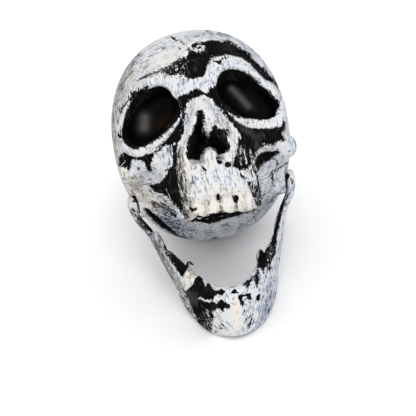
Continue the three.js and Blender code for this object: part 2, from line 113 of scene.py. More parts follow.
nose_half, nose_low, nose_high, nose_back, nose_margin = 18, -13, 26, 56, 6
nostrils = [
    [(-2.6, 22), (-7, 15), (-11, 5), (-14, -3), (-13, -7), (-8.5, -9), (-3.6, -7), (-2.2, 2), (-1.6, 12)],
    [(4.6, 11), (9, 5), (13, -1), (12.6, -6), (8.5, -8.6), (4.2, -7.4), (2.4, -1), (2.6, 5)],
]
bite_fore, bite_rise, bite_slope = 82, -45, 0.36
tooth_places, tooth_halves = (5.0, 13.4, 19.6, 23.8), (5.0, 4.0, 3.5, 3.2)
tooth_row_fore, tooth_row_depth, tooth_row_half = 51.3, 31.8, 26.5
tooth_depth, tooth_height, tooth_drop, tooth_power = 4.4, 6.6, 1.5, 2.3
socket_place, socket_half = (33.5, 60, 39.5), (21.5, 20)
socket_mean = sum(socket_half) / 2
socket_turn, socket_lean, socket_skew = math.radians(24), math.radians(8), 0.3
socket_depth, socket_mid = 17.5, 2
funnel_wall, funnel_draw_in, funnel_widening, funnel_slope = 5.5, 4.0, 0.5, 0.85
rim_out, rim_draw_in, rim_radius, rim_thinning = 3, 4.5, 4.8, 1.1
boss_face, boss_radius, recess_radius = 52.49, 9.5, 8.6
fillets = dict(temple=8, column=8, bite=2, upper_jaw=4, arch=6, cheek=7, funnel=4, rim=5)
fillets.update(nose_side=5, nose=4, tooth=0.9, boss=5, knob=2)
core = np.array([0.0, 10.0, 22.0])
cast_reach = 190
seam_lean = math.radians(26)
seam_normal = np.array([0.0, math.cos(seam_lean), -math.sin(seam_lean)])
seam_setback, seam_half_gap, seam_ease = -42.0, 0.15, 0.1
edge_bevel, shell_wall = 0.5, 2.6


def egg(x, f, z, centre, half, power):
    """Distance to a squared egg, (|x/a|^p + |f/b|^p + |z/c|^p)^(1/p) = 1, to first order."""
    u, v, w = (np.abs(q - m) / h + 1e-6 for q, m, h in zip((x, f, z), centre, half))
    k = (u**power + v**power + w**power) ** (1 / power)
    q = power - 1
    slope = k**-q * np.sqrt((u**q / half[0]) ** 2 + (v**q / half[1]) ** 2 + (w**q / half[2]) ** 2)
    return (k - 1) / slope


def limb(x, f, z, start, end, start_radius, end_radius):
    """Distance to a line from start to end less a radius that runs evenly along it."""
    run = np.subtract(end, start)
    off = (x - start[0], f - start[1], z - start[2])
    t = np.clip((off[0] * run[0] + off[1] * run[1] + off[2] * run[2]) / (run @ run), 0, 1)
    gap = np.sqrt(sum((o - r * t) ** 2 for o, r in zip(off, run)))
    return gap - start_radius - (end_radius - start_radius) * t


def merge(first, second, fillet):
    """Smaller of two distances, rounded off where they are within a fillet of each other."""
    h = np.clip(0.5 + 0.5 * (second - first) / fillet, 0, 1)
    return second + (first - second) * h - fillet * h * (1 - h)


def outline_distance(u, v, corners, closed=True):
    """Distance to the nearest edge of an outline, negative inside a closed one by an even-odd count."""
    a = np.asarray(corners, float)
    b = np.roll(a, -1, 0)
    if not closed:
        a, b = a[:-1], b[:-1]
    nearest, inside = np.full(u.shape, 1e9), np.zeros(u.shape, bool)
    for (ax, ay), (bx, by) in zip(a, b):
        ex, ey = bx - ax, by - ay
        t = np.clip(((u - ax) * ex + (v - ay) * ey) / (ex * ex + ey * ey + 1e-12), 0, 1)
        nearest = np.minimum(nearest, (u - ax - ex * t) ** 2 + (v - ay - ey * t) ** 2)
        if closed:
            crosses = (ay > v) != (by > v)
            inside ^= crosses & (u < ex * (v - ay) / (ey if ey else 1e-12) + ax)
    return np.sqrt(nearest) * np.where(inside, -1, 1)


def socket_frame(x, f, z):
    """Point of the skull's right half to its socket's frame: across the opening, out along its axis, up."""
    dx, df, dz = x - socket_place[0], f - socket_place[1], z - socket_place[2]
    outward = dx * math.sin(socket_turn) + df * math.cos(socket_turn)
    up = dz * math.cos(socket_lean) - outward * math.sin(socket_lean)
    level = dx * math.cos(socket_turn) - df * math.sin(socket_turn)
    return level + socket_skew * up, dz * math.sin(socket_lean) + outward * math.cos(socket_lean), up


def from_socket(across, out, up, hand):
    """Socket frame back to a skull point, on the right for hand 1 and the left for hand -1."""
    dz = up * math.cos(socket_lean) + out * math.sin(socket_lean)
    outward = out * math.cos(socket_lean) - up * math.sin(socket_lean)
    level = across - socket_skew * up
    x = socket_place[0] + level * math.cos(socket_turn) + outward * math.sin(socket_turn)
    f = socket_place[1] - level * math.sin(socket_turn) + outward * math.cos(socket_turn)
    return np.stack([hand * x, f, socket_place[2] + dz], -1)


def beyond_oval(x, f, z):
    """How far a point lies outside the oval of the eye opening, out along its axis, and across it."""
    across, out, up = socket_frame(np.abs(x), f, z)
    return (np.hypot(across / socket_half[0], up / socket_half[1]) - 1) * socket_mean, out, across


def rim_offset(sideways):
    """How far outside the oval the socket rim runs: it draws in towards the temple."""
    return rim_out - rim_draw_in * sideways**2


def skull_form(x, f, z):
    """Distance to the outside of the skull: egg-shaped braincase hollowed at the temples, with the face
    column, upper jaw, cheekbones, socket rims, nose, teeth and hinge bosses merged on and the hinge recesses
    and nose openings cut away. Two lumps are then merged on under the nose, and the rest flat is cut."""
    m = np.abs(x)
    form = -merge(-egg(x, f, z, **vault), egg(m, f, z, **temple), fillets["temple"])
    form = merge(form, limb(m, f, z, **face_column), fillets["column"])
    below_bite = (bite_rise + bite_slope * (bite_fore - f) - z) / math.hypot(1, bite_slope)
    palate = -merge(-egg(x, f, z, **upper_jaw), -below_bite, fillets["bite"])
    form = merge(form, palate, fillets["upper_jaw"])
    cheek = merge(limb(m, f, z, **cheekbone), limb(m, f, z, **cheek_arch), fillets["arch"])
    form = merge(form, cheek, fillets["cheek"])
    oval, out, across = beyond_oval(x, f, z)
    behind = socket_mid - out
    sideways = np.clip(across / socket_half[0], 0, 1)
    funnel = oval - funnel_wall + funnel_draw_in * sideways**2
    funnel = (funnel - funnel_widening * np.maximum(0, behind) * sideways) * funnel_slope
    form = merge(form, np.maximum(np.maximum(funnel, -behind), behind - socket_depth), fillets["funnel"])
    rim = np.hypot(oval - rim_offset(sideways), behind) - rim_radius + rim_thinning * sideways**2
    form = merge(form, rim, fillets["rim"])
    nose = merge(limb(x, f, z, **nose_bridge), limb(m, f, z, **nose_side), fillets["nose_side"])
    form = merge(form, nose, fillets["nose"])
    for place, half in zip(tooth_places, tooth_halves):
        fore = tooth_row_fore + tooth_row_depth * math.sqrt(1 - (place / tooth_row_half) ** 2)
        rise = bite_rise + bite_slope * (bite_fore - fore) - tooth_drop + tooth_height
        tooth = egg(m, f, z, (place, fore, rise), (half, tooth_depth, tooth_height), tooth_power)
        form = merge(form, tooth, fillets["tooth"])
    round_hinge = np.hypot(f, z)
    form = merge(form, np.maximum(round_hinge - boss_radius, m - boss_face), fillets["boss"])
    form = np.maximum(form, -np.maximum(round_hinge - recess_radius, boss_face - m))
    near = (m < nose_half) & (z > nose_low) & (z < nose_high) & (f > nose_back - nose_margin)
    holes = [outline_distance(x[near], z[near], hole) for hole in nostrils]
    form[near] = np.maximum(form[near], -np.maximum(np.minimum(*holes), nose_back - f[near]))
    form = merge(form, limb(x, f, z, **nose_knob), fillets["knob"])
    form = merge(form, egg(x, f, z, **nose_lump), fillets["knob"])
    return np.maximum(form, -(f * math.sin(tip_back) + z * math.cos(tip_back) + hinge[2] * 1000))


def hit(start, toward, reach):
    """Outermost point of the skull on each ray, marched in from outside and then halved down on."""
    touch, least_step, caution, overshoot = 0.02, 0.25, 0.7, 1.5
    place = np.full(toward.shape[:-1], float(reach))
    live = np.ones(place.shape, bool)
    for _ in range(90):
        gap = skull_form(*(start[live] + toward[live] * place[live][:, None]).T)
        place[live] -= np.where(gap > touch, np.maximum(least_step, caution * gap), 0)
        live[live] = gap > touch
        if not live.any():
            break
    low, high = place, place + overshoot
    for _ in range(11):
        middle = (low + high) / 2
        out = skull_form(*(start + toward * middle[:, None]).T) > 0
        low, high = np.where(out, low, middle), np.where(out, middle, high)
    return start + toward * low[:, None]


def cast(turn, around):
    """Skull surface seen from its core: angle from the fore axis, and angle round that axis."""
    turn, around = np.broadcast_arrays(turn, around)
    toward = np.stack([np.sin(turn) * np.cos(around), np.cos(turn), np.sin(turn) * np.sin(around)], -1)
    start = np.broadcast_to(core, toward.shape)
    return hit(start.reshape(-1, 3), toward.reshape(-1, 3), cast_reach).reshape(toward.shape)


def seam_turn(around, place):
    """Angle from the fore axis at which the surface is at a place before the seam plane, by halving."""
    low, high = np.full(around.shape, 0.8), np.full(around.shape, math.pi - 0.3)
    for _ in range(13):
        middle = (low + high) / 2
        front = cast(middle, around) @ seam_normal - seam_setback > place
        low, high = np.where(front, middle, low), np.where(front, high, middle)
    return low


def seam_wall(edge, side):
    """Two rows that carry a half shell's edge in to the thickness of its wall, eased over the seam plane."""
    inward = core - edge
    inward /= np.linalg.norm(inward, axis=-1, keepdims=True)
    return [edge + inward * depth - side * seam_ease * seam_normal for depth in (edge_bevel, shell_wall)]


def outward(points):
    """Unit normal of the skull from the slope of its distance."""
    steps = np.eye(3) * 0.35
    slope = np.stack([skull_form(*(points + s).T) - skull_form(*(points - s).T) for s in steps], -1)
    return slope / (np.linalg.norm(slope, axis=-1, keepdims=True) + 1e-9)


def quads(rows, columns):
    """Faces of a grid of points, row by row, wrapped round across its columns."""
    i, j = np.meshgrid(np.arange(rows - 1) * columns, np.arange(columns), indexing="ij")
    k = (j + 1) % columns
    return np.stack([i + j, i + k, i + columns + k, i + columns + j], -1).reshape(-1, 4)


def path(text):
    """Points written as 'x,y x,y'."""
    return np.array([[float(n) for n in pair.split(",")] for pair in text.split()])


def strokes(text):
    """Brush strokes written one after another: one or more kinds, each with its amount, then the pixels of
    the outlines that they fill or the lines that they follow, with a bar between two of them."""
    listed = []
    for kinds, places in re.findall(r"((?:[a-z]+ [-.\d]+\s+)+)([-.,|\d\s]+)", text):
        amounts = [(kind, float(amount)) for kind, amount in re.findall(r"([a-z]+) (\S+)", kinds)]
        listed += [(*amount, path(outline)) for outline in places.split("|") for amount in amounts]
    return listed


stroke_margin, ink_limit = 12, 9.0
edge_blur = {"dry": 3, "shade": 2.5, "haze": 5, "thin": 8, "wear": 8, "warm": 8}
first_coat = {"ink": -ink_limit, "wear": 0.1, "thin": 0.22, "warm": 0.35, "haze": 0.0}
unseen_coat = {"ink": -ink_limit, "wear": 0.22, "thin": 0.26, "warm": 0.4, "haze": 0.0}


def brushed(u, v, marks):
    """Paint layers at pixels u, v. ink is how far inside bare black a point is (below 0 painted), wear how
    much black shows through the strokes, thin how thin the paint is and warm how creamy it is; the last
    layer is a painted sheen, grey painted into the bare black where the glossy plastic catches the light. A
    black or white outline is filled, and black's amount is how much firmer than plain its edge is. A black
    line or a white streak has its width as its amount. A shade is thin paint with a sharper edge, for grey
    strokes and mottles and also for painted shade, and a dry stroke sets the ink itself: near 0 the bristles
    leave half of it black."""
    layers = {name: np.full(u.shape, value) for name, value in first_coat.items()}
    ink = layers["ink"]
    for kind, amount, corners in marks:
        low, high = corners.min(0) - stroke_margin, corners.max(0) + stroke_margin
        near = (u > low[0]) & (u < high[0]) & (v > low[1]) & (v < high[1])
        is_line = kind in ("line", "streak")
        gap = outline_distance(u[near], v[near], corners, not is_line)
        if is_line:
            gap -= amount / 2
        if kind in ("black", "line"):
            firmness = 1 if is_line else 1 + amount
            ink[near] = np.maximum(ink[near], np.clip(-gap * firmness, -ink_limit, ink_limit))
        elif kind in ("white", "streak"):
            ink[near] = np.minimum(ink[near], np.clip(gap, -ink_limit, ink_limit))
        else:
            layer = layers[{"dry": "ink", "shade": "thin"}.get(kind, kind)]
            layer[near] += (amount - layer[near]) * np.clip(0.5 - gap / edge_blur[kind], 0, 1)
    return layers


orbit_left = path(
    "150,89 155,87.5 160,86.5 165,88 169,90.5 172,95 175,99 178,102 181,106 182.5,110 181,114 179,119 "
    "176,122.5 172,127 168,131.5 163,135.5 158,139.5 152,143 146,146 142,148 137,149.5 133,149 129,146.5 "
    "125,143 122,139 121,133 122.5,125 124,118 126,112 129,106 131,101 134,97 137,93 143,90"
)
orbit_right = path(
    "217.5,80 220,75 223,71.5 228,70 233,70.5 237,70 242,72 247,74 251,76.5 255,80 259,84 263,87 267,90 "
    "271,94 274,98 277,100 280.5,101 279,105 277.5,109 275.5,114 273,117 268,118.5 262,119.5 256,119 "
    "250,118.5 244,118 238,117.5 233,116 229,113 225,111 221,108 219,103 217,98 216,92 216.5,86"
)
# Painted shade: thin grey strokes along the head's left outline darken it towards the edge, over the beige
# paint there.
forehead_tone = strokes("""
    warm 0.5 112,110 122,80 140,60 160,45 190,40 200,60 190,85 160,90 140,100 125,130 118,160 130,185 112,150
    thin 0.34 wear 0.18 112,100 122,80 140,60 165,44 200,36 235,36 250,50 215,40 190,48 176,60 160,70 140,80
        128,98 118,130 112,130
    thin 0.72 warm 0.6 107,100 116,82 128,66 142,54 125,92 119,112 118,150 122,178 112,165
    thin 1.15 117.5,84 119.5,77 124,69.5 130,62 136,57 140,55.5 129,69 124.5,76 120,87
    thin 0.95 118,92 120,84 124,84 124,90 121,100 117,104
    thin 1 110,128 110.5,108 113,97 115.5,94 113.5,116 115,148 112.5,146
    wear 0.3 108,100 116,82 128,66 150,48 142,66 126,90 119,116 117,140 118,168 110,150
    thin 0.12 146,66 158,54 176,46 186,48 180,56 166,64 150,72
    thin 0.62 186,36 206,30 226,31 238,36 244,44 230,38 208,36 190,40
    wear 0.34 140,60 165,42 200,34 235,36 262,56 285,92 296,135 288,92 270,60 240,34 205,28 165,38
    warm 0.05 thin 0.55 226,30 240,36 262,54 286,90 300,140 296,165 288,150 288,120 276,84 256,58 236,40
""")
brow_tone = strokes("""
    thin 0.3 warm 0.3 140,84 160,78 190,82 206,74 214,60 240,60 262,78 284,100 286,118 270,126 240,122 210,92
        180,98 150,92
""")
# The upper jaw's left side is painted darker than its front: partly a beige smear and partly painted shade
# on that side.
upper_jaw_tone = strokes("""
    warm 0.42 190,100 204,96 214,104 228,120 240,140 244,170 250,190 256,206 240,212 215,216 195,220 186,215
        183,180 186,140
    thin 0.32 186,120 200,98 214,104 232,124 238,150 214,120 202,106 192,130 187,165 182,165
    wear 0.12 thin 0.33 186,160 205,160 232,168 246,184 250,206 215,214 192,220 188,190
    thin 0.1 203,150 212,148 219,158 216,170 208,172 204,160
    thin -0.15 wear 0 191,206 198,200 214,193 232,192 247,194 250,206 240,211 222,213 198,219
    thin 1 168,148 177,145 181,158 182,176 184,196 187,214 183,214 177,200 171,182 169,165
    dry -0.5 181,169 185,167 190,175 190,184 185,188 181,184
    warm 0.95 177,160 186,164 190,190 195,214 194,223 187,222 182,205 178,185
    thin 0.7 180,186 186,188 191,206 194,220 188,222 184,208
    wear 0.3 236,148 250,160 256,190 262,205 246,214 240,195 236,170
""")
left_cheek_tone = strokes("""
    thin 0.4 118,162 135,158 150,160 165,150 168,175 152,184 138,180 122,172
    warm 0.95 118,165 130,174 140,183 152,192 160,205 168,216 158,216 143,205 128,190
    thin 0.5 wear 0.28 118,168 130,176 142,185 150,194 160,207 150,212 138,202 126,188
    thin 0.85 126,176 134,181 142,187 138,190 130,186
    thin 0.6 148,190 160,193 172,204 188,224 180,226 156,203
""")
# Painted shade: along the underside's right edge the paint is made thinner and darker towards the outline.
underside_tone = strokes("""
    thin 0.26 160,212 176,214 188,224 200,223 215,225 245,215 257,209 266,196 278,182 290,170 292,186 279,206
        270,218 257,232 240,242 222,246 200,246 178,240 162,230 150,216
    dry -1.15 162,214 178,219 190,227 215,229 245,219 262,207 258,226 240,241 222,245 200,245 178,239 163,229
    warm 0.05 158,205 180,215 188,224 215,225 245,215 266,196 290,170 292,186 270,218 240,242 200,246 165,230
    wear 0.3 160,212 176,214 188,224 215,226 245,216 262,206 258,226 240,243 222,247 200,247 178,240 160,228
    thin 0.9 252,226 272,202 282,186 286,184 280,202 268,218 256,231 240,240 226,243 240,236
""")
right_cheek_tone = strokes("""
    thin 0.5 wear 0.3 258,160 272,162 288,160 292,168 280,184 266,198 260,190 258,175
""")
# The grey painted into the black along the brow is a painted sheen where the glossy plastic catches the
# light.
brow_marks = strokes("""
    black 0 160,69 168,66 172,63 176,61 179,59 180,56 183,57 189,50 192,49 199,51.5 204,50 206,47 210,44
        212,41 216,40.5 222,41 228,39.5 236,45 250,53 253,58 262,67 265,72 270,76 277,87 281,91 270,82 265,80
        254,69 250,64 245,60 241,58 231,55.5 226,55 222,57 213,57 208,63 204,74 202,76 198,77 194,79 190,79
        187,78 183,74 179,74 171,76 166,74 162,74 | 262,66 271,75 279,85.5 282,91 279.5,90 275,85 265,76
        261,71 | 136,81 143,76 150,73 157,71 160,69 158,75 148,77 143,79 139,82
    streak 1.2 136,83 146,78 156,74 166,71
    wear 0.7 134,84 148,72 165,64 184,54 190,56 186,80 165,77 148,79
    dry 1.1 160,71 166,67 172,64 180,58 186,55 189,58 189,72 186,76 180,74 174,74
    dry 2.4 190,55 206,53 206,68 203,76 191,77
    haze 0.22 190,58 198,55 206,54 204,64 196,74 190,74
    haze 0.45 213,56 220,54 228,53 236,54.5 244,57.5 252,62 259,67 262,70.5 256,70 241,60 233,57.5 226,56.5
    haze 0.4 214,50 218,43.5 228,42.5 236,47 236,53
    white 0 179,58 181,54 185,52 188,53 186,57 182,58 | 212.5,57.5 217,56.5 221.5,56.5 221,59.5 217,60.5
        212.5,60.5
    black 1.5 212,61 219,60.5 222,59 221.5,63 220,65.3 215,61.8
    line 1.4 222,59.5 226,58 229,57.5
""")
forehead_marks = strokes("""
    black 1.5 169.5,36 173,36.5 178,41 176.5,41.5 172,39 | 191,45.5 193,43.5 196,42.3 199.5,43.5 202,41.3
        206,41.3 209,40 220,40.2 216,44 204.5,50 203.5,46 200,44.8 197,45.5 194.5,48.5 192.5,48.5
    line 1.2 181,42 184,44 | 138.8,55 140,55.2
    line 1.3 178.8,47.6 180.3,49
    line 1 163,49 163.6,49.3
    shade 1.1 150,56 158,52 159,53 152,57.5
    shade 1 128,74 136,67 137,68.4 130,76
    shade 0.9 142,68 152,62 153,63.2 144,70
    shade 1 203,33 212,32.4 212,33.8 204,34.6
    shade 1.1 222,33.5 232,36 231,37.4 223,35.4
    shade 1 240,42 249,50 248,51 239,44
    streak 1.8 195,48.8 197.3,50.8 200.2,51 202.6,49 203.4,46.6
    black 1.5 196.3,47.6 199,45.6 201.8,46.5 200.2,48.8 197.5,49.2
    line 1.2 187,49.2 190.5,49 | 218,32 222,36
    line 1 206,31 208,31.5
""")
left_socket_marks = [("black", 0, orbit_left)] + strokes("""
    black 0 128.5,97.5 131,92.5 134.5,90.5 136,92 139,89.8 147.5,85.6 150,87.3 129.5,101.5 | 119,111.5
        120.5,107.5 127,101.5 131.5,95 128.8,101.5 123.5,108.6 121.3,113
    thin 0.05 119,130 120,116 124,106 127,104 123,122 122.5,134 125,142 121,140
    line 1.3 118.2,118 118,124
    black 1.5 117,132 118.5,131.5 120,135.5 122.2,138.4 119.8,138.6 117.6,136
""")
nose_bridge_marks = strokes("""
    black 0 176,101 178,97 188,93 191,89.5 195,88 199,89 203,92 207,93 212,87 214,88 217,86 218,81 219,90
        214,97 208,97 204,95 199,97 194,98 190,100 187,104 186,110 181,108 | 181,106 184,98 187,104 185,121
        180,136 177,141 172,145 162,147 158,150 156,148 168,138 174,130 179,122 182,115 | 208,88 213,89
        219,82 222,104 224.5,108.5 233,118 238,122 245,126 250,128 240,133 229,121 214,102 209,97
""")
right_socket_marks = [("black", 0, orbit_right), ("line", 1.8, orbit_right[17:26])]
right_socket_marks.append(("line", 1.4, orbit_right[3:16]))
# The brown grey painted into the black on the right cheek and under the socket is a painted sheen.
right_cheek_marks = strokes("""
    black 0 231,121 240,125 249,128 258,128.5 270,128 281,126.5 283,121 286,122 286,129 283,133 285.5,141
        277,142 276,145.5 269,146 264,144.5 262.5,148 259,150 252,157 251,151 249.5,148 248,152 249.5,158
        247,162 245,167 240.5,171 237,168 233,166 233,160 236,155 237,148 241,141 240,135 237,129 | 238,136
        252,140 258,150 253.5,161 249,168 244,170 238,168 236,160 238,148
    haze 0.55 241,127 247,128 258,134 262,132 266,134 259,142 259.5,148 257,151 254.5,148 255,142 251,138
        242,131
    haze 0.6 228,117 244,125 252,127.5 252,130 243,128 234,123
    streak 1 250.5,150 252,157 252.5,164 | 240.5,146 240.6,158 241,165
    streak 1.2 244,150 245,156 247,162
    black 0 255,160 257,156 261,153 265,151.5 270,151 274,152 276,150 279.5,150 279,154 277,158 274,160
        266,162 262,166 258,173 255,164 | 254,165 257,172 259,180 262,199 260,205 256,206.5 255,201 257,196
        254,190 247.5,184 249,181 256,190 257.5,184 256,176 253,170 251,163
    line 2 277.5,150 277.5,158 277,166 | 272.5,172 273,178 272.5,186
    line 1.6 271,173 278,169 284,165 289,162 291,159.5
    wear 0.8 269,171 276,172 275,188 270,188
    line 1.4 264,194.5 265.5,194.5
    dry 0.7 247.5,183 252,180 257,186 262,198 262,206 258,206 253,198 249,190
    line 1.5 241,174 245,178 248,178 | 250,170 252,176
""")
nostril_marks = strokes("""
    black 0 197,110 202,109 204.5,113 205,118 204,124 205,130 207,136 209,137 211.5,127 214,125 219,127.5
        224,128 227.5,130 229,134 229,141 231,147 229,151 225,152.5 221,155.5 218.5,155 216,151 213,148
        209,147 206,148.5 203,152 200,160 187,159.5 185.5,155 187,141 193.5,128 196,120
    black 1.5 217.5,150 221.5,151.5 222.6,157.5 219.5,158 217.8,155 | 215.6,157.6 218.6,156.2 221.6,158
        222,162.4 220.6,164.6 217.4,163.6 | 224.2,163.4 227,161 230.6,161.8 231.6,165.4 228.6,167.8 225,166.8
    line 1.6 201,164 203,168 205,170
    wear 0.75 199,160 206,166 208,176 204,180 201,172
""")
left_cheek_marks = strokes("""
    black 0.6 117.8,162 118.6,157 121,153.4 125,152.4 129,155 134,157.2 132.6,160.4 131,160 131,165 129.6,171
        127.6,170.6 126.8,166.4 125,169 123.4,166.6 120.8,167.4 118.4,165 | 130.5,156 136,157 142,156.6
        144,154.8 148,154.2 156,151.6 151,163.6 152,168 151.4,172.6 149.4,175 147.6,171.6 144.6,163
        142.4,160.6 131,159.2
    dry 0.3 136,166 139,164.8 141.8,165.4 142.4,169 139.4,173.4 136.8,172
    black 0 154.4,152.4 174,135.5 182,126 185,124 184,132 181.2,138 180.5,141 176.5,143.6 172,143 168.5,144
        156,153.4
    line 1.6 164.5,171.5 166.5,170
    line 1.4 143,184.2 149,184.2
""")
# The strip down the upper jaw's left side is partly smeared beige paint and partly painted shade.
left_hollow_marks = strokes("""
    black 0 150.3,185.5 153,186.5 157,184 161,181.2 167.6,174.5 171.5,183 180.5,207 184.5,216 168,198.5
        163,194.5 153,190
    dry 2.4 150,185 158,184.5 163,188 164,193 157,192 152,190
    dry 1.1 171,144 177,144 178.6,160 177.8,176 180,190 183.5,206 187,217 182,212 176.5,198 172.5,184
        170.8,170
    black 0.5 163,178.5 166,174.5 170,166 176.6,170 178.4,184 180.8,196 187.4,217.5 182,213 176,204
    thin 1.4 warm 1 176,148 181,150 183,165 184,182 191,220 184,218 179,200 177,180
    dry -0.2 177,148 180,150 182,165 183,182 190,219 185,216 180,200 178,180
""")
left_jowl_marks = strokes("""
    dry 0.8 149.5,201 155,200.3 160,202.5 168,206.5 174,211 178.5,215.5 176,218.5 170,217.5 157,209.5 151,205
    line 2.2 151,202 155,206 | 160.5,203 164,205 168.5,208
    line 2 168,208 172,210.5 176.5,213.5
    thin 0.95 150,203 160,206 172,215 185,226 192,236 180,236 166,226 156,216
    dry -0.25 152,205 160,207 172,216 184,227 186,233 174,229 163,220 155,212
    black 0 143,206 146.6,207.6 163,220.8 178,234.4 187,239.6 181,239.4 167,232 160,227.4 153,221.6 147,215 |
        181.3,233.3 183.4,233.6 187.5,238.6 185.2,238.8 | 210,239.8 214,237.6 217.6,237 217,239.4 212,240.8
    line 1.8 181,236.6 185,238.2 189.5,239.6
    line 1.4 189.5,235.5 191.8,238
""")
# Painted shade: the shade strokes between the teeth and in arcs over their tops, and the thin patch right of
# the nose knob, darken the paint where they would be in shade; warm tints the teeth and that shade beige.
tooth_marks = strokes("""
    black 1.5 187.6,206 191,206.6 194,208 197.8,205.8 197,210.6 192.5,211.6 189.5,209.4 | 215.4,195.6
        218,193.8 220.8,194.2 221,199.4 219.6,202.6 217,201.4 | 232.4,196.6 235,194.8 239.6,195.6 237,203.4
        234,202 | 191,221 197,216.6 200,215.6 204.5,217.2 208,214.6 212,213.4 217,213.4 221,211 230,213.6
        238.6,211 242.5,212.6 242.6,215 230,218 217,222.6 210,224 198,222.4 193,222.6
    warm 1 190,206 206,198 222,192 246,192 252,204 240,212 220,214 196,220
    shade 0.85 205.8,202 208.4,200 209.6,206 208.8,212 207,215 205.6,209 | 220,197 223.2,196 223.4,205
        222.4,213 220.2,213 | 235,201 238.2,199 238.2,206 237.2,212 234.8,212
    shade 0.8 195.8,210 198.4,209 199.8,214 198.4,218 196,217
    shade 0.7 242.6,199 244.6,198.4 245,204 244,210 242.4,210
    shade 0.66 208,203 210,199.4 214,197.6 218.6,199 214.4,199.8 | 223.6,199 226,196.4 229.4,195.2
        233.6,197.4 229.6,197.6 226,199
    thin 0.9 217,160 221,165 219,174 214,178 214,170
    line 1.2 227,194.5 229,194.5 | 243,196 245,198 | 190,194 193.5,195
    dry 0.9 196,217 204,218 212,217 222,214.5 232,214.5 232,216 220,219 206,221.5 197,220.5
    line 1.4 240,214 250,212 257,208
""")
underside_marks = strokes("""
    shade 0.68 186,229 192,226.5 198,230 194,233.5 188,232.5 | 203,232 210,228.5 214.5,233 208,237 | 220,226
        228,222.5 232.5,227 225,231.5 | 236,228 243,221.5 247.5,225 240,232 | 175,223 182,225.5 184.5,231.5
        178,229 | 212,240.5 222,237.5 228.5,239.5 220,243.5 | 252,217 257,210 260,212 256,221
    shade 0 196,235.5 204,237.5 208,241 200,242 | 226,233.5 234,230.5 236.5,235 229,237.5 | 193,226 201,225.5
        203,230 198,229 | 213,226.5 220,225 219,230 214.5,230.5 | 232,221 239,218.5 238,224 233,226 | 180,233
        187,234.5 192,239 184,237.5
""")
skull_strokes = forehead_tone + brow_tone + upper_jaw_tone + left_cheek_tone + underside_tone
skull_strokes += right_cheek_tone + brow_marks + forehead_marks + left_socket_marks + nose_bridge_marks
skull_strokes += right_socket_marks + right_cheek_marks + nostril_marks + left_cheek_marks
skull_strokes += left_hollow_marks + left_jowl_marks + tooth_marks + underside_marks


def ring(count, offset=0.0):
    """Even angles round a ring."""
    return (np.arange(count) + offset) / count * 2 * math.pi


segments, rings, pole_turn = 440, 188, 0.002
around = -ring(segments, 0.5)
share = np.linspace(0, 1, rings)
share = 0.8 * share + 0.2 * share**2
turns = np.maximum(share[:, None] * seam_turn(around, seam_half_gap), pole_turn)
face_rows = cast(turns, around)
grid = np.concatenate([face_rows, seam_wall(face_rows[-1], 1)])
grid_faces = quads(len(grid), segments)[:, ::-1]
grid = grid.reshape(-1, 3)

eye_hole_beyond, eye_hole_back = 7.0, -9
oval, out, _ = beyond_oval(*grid.T)
open_eye = (oval < eye_hole_beyond) & (out > eye_hole_back)
grid_faces = grid_faces[~open_eye[grid_faces].all(-1)]

rim_segments, crest_rings = 120, 24
rim_level, lip_step, crest_end, rim_hold, rim_reach = 5.5, 1.2, 10.3, 0.7, 30
tuck_from, tuck_over, proud, tucked = 9.0, 11.5, 0.06, -0.7
cup_edge, cup_edge_share, sweep_end = -3.8, 0.945, 0.75
wall_drop = np.array([0.0, 0.18, 0.36, 0.54, 0.7, 0.82, 0.91, 0.97])[:, None]
wall_round = np.array([0.0, 0.0, 0.0, 0.0, 0.05, 0.2, 0.45, 0.8])[:, None]
bare_wall_rows = 5
rim_turn = ring(rim_segments)
rim_cos, rim_sin = np.cos(rim_turn), np.sin(rim_turn)


def opening(outline, hand):
    """Size of an eye opening round its oval, as a share of it: its outline in the photograph, cast on the
    rim's plane, held within limits and kept to its first ten waves."""
    waves_kept, smallest, largest = 11, 0.72, 1.14
    corners = np.vstack([outline, outline[0]])
    along = np.arange(0, len(corners) - 1, 0.05)
    seen = from_pixel(*(np.interp(along, np.arange(len(corners)), c) for c in corners.T))
    eye_at = to_view * view_distance
    heights = [socket_frame(hand * q[..., 0], q[..., 1], q[..., 2])[1] for q in (eye_at, seen)]
    share = (heights[0] - rim_level) / (heights[0] - heights[1])
    spot = eye_at + (seen - eye_at) * share[:, None]
    across, _, up = socket_frame(hand * spot[:, 0], spot[:, 1], spot[:, 2])
    across, up = across / socket_half[0], up / socket_half[1]
    turn = np.arctan2(up, across)
    order = np.argsort(turn)
    size = np.interp(rim_turn, turn[order], np.hypot(across, up)[order], period=2 * math.pi)
    waves = np.fft.rfft(np.clip(size, smallest, largest))
    waves[waves_kept:] = 0
    return np.fft.irfft(waves, rim_segments)


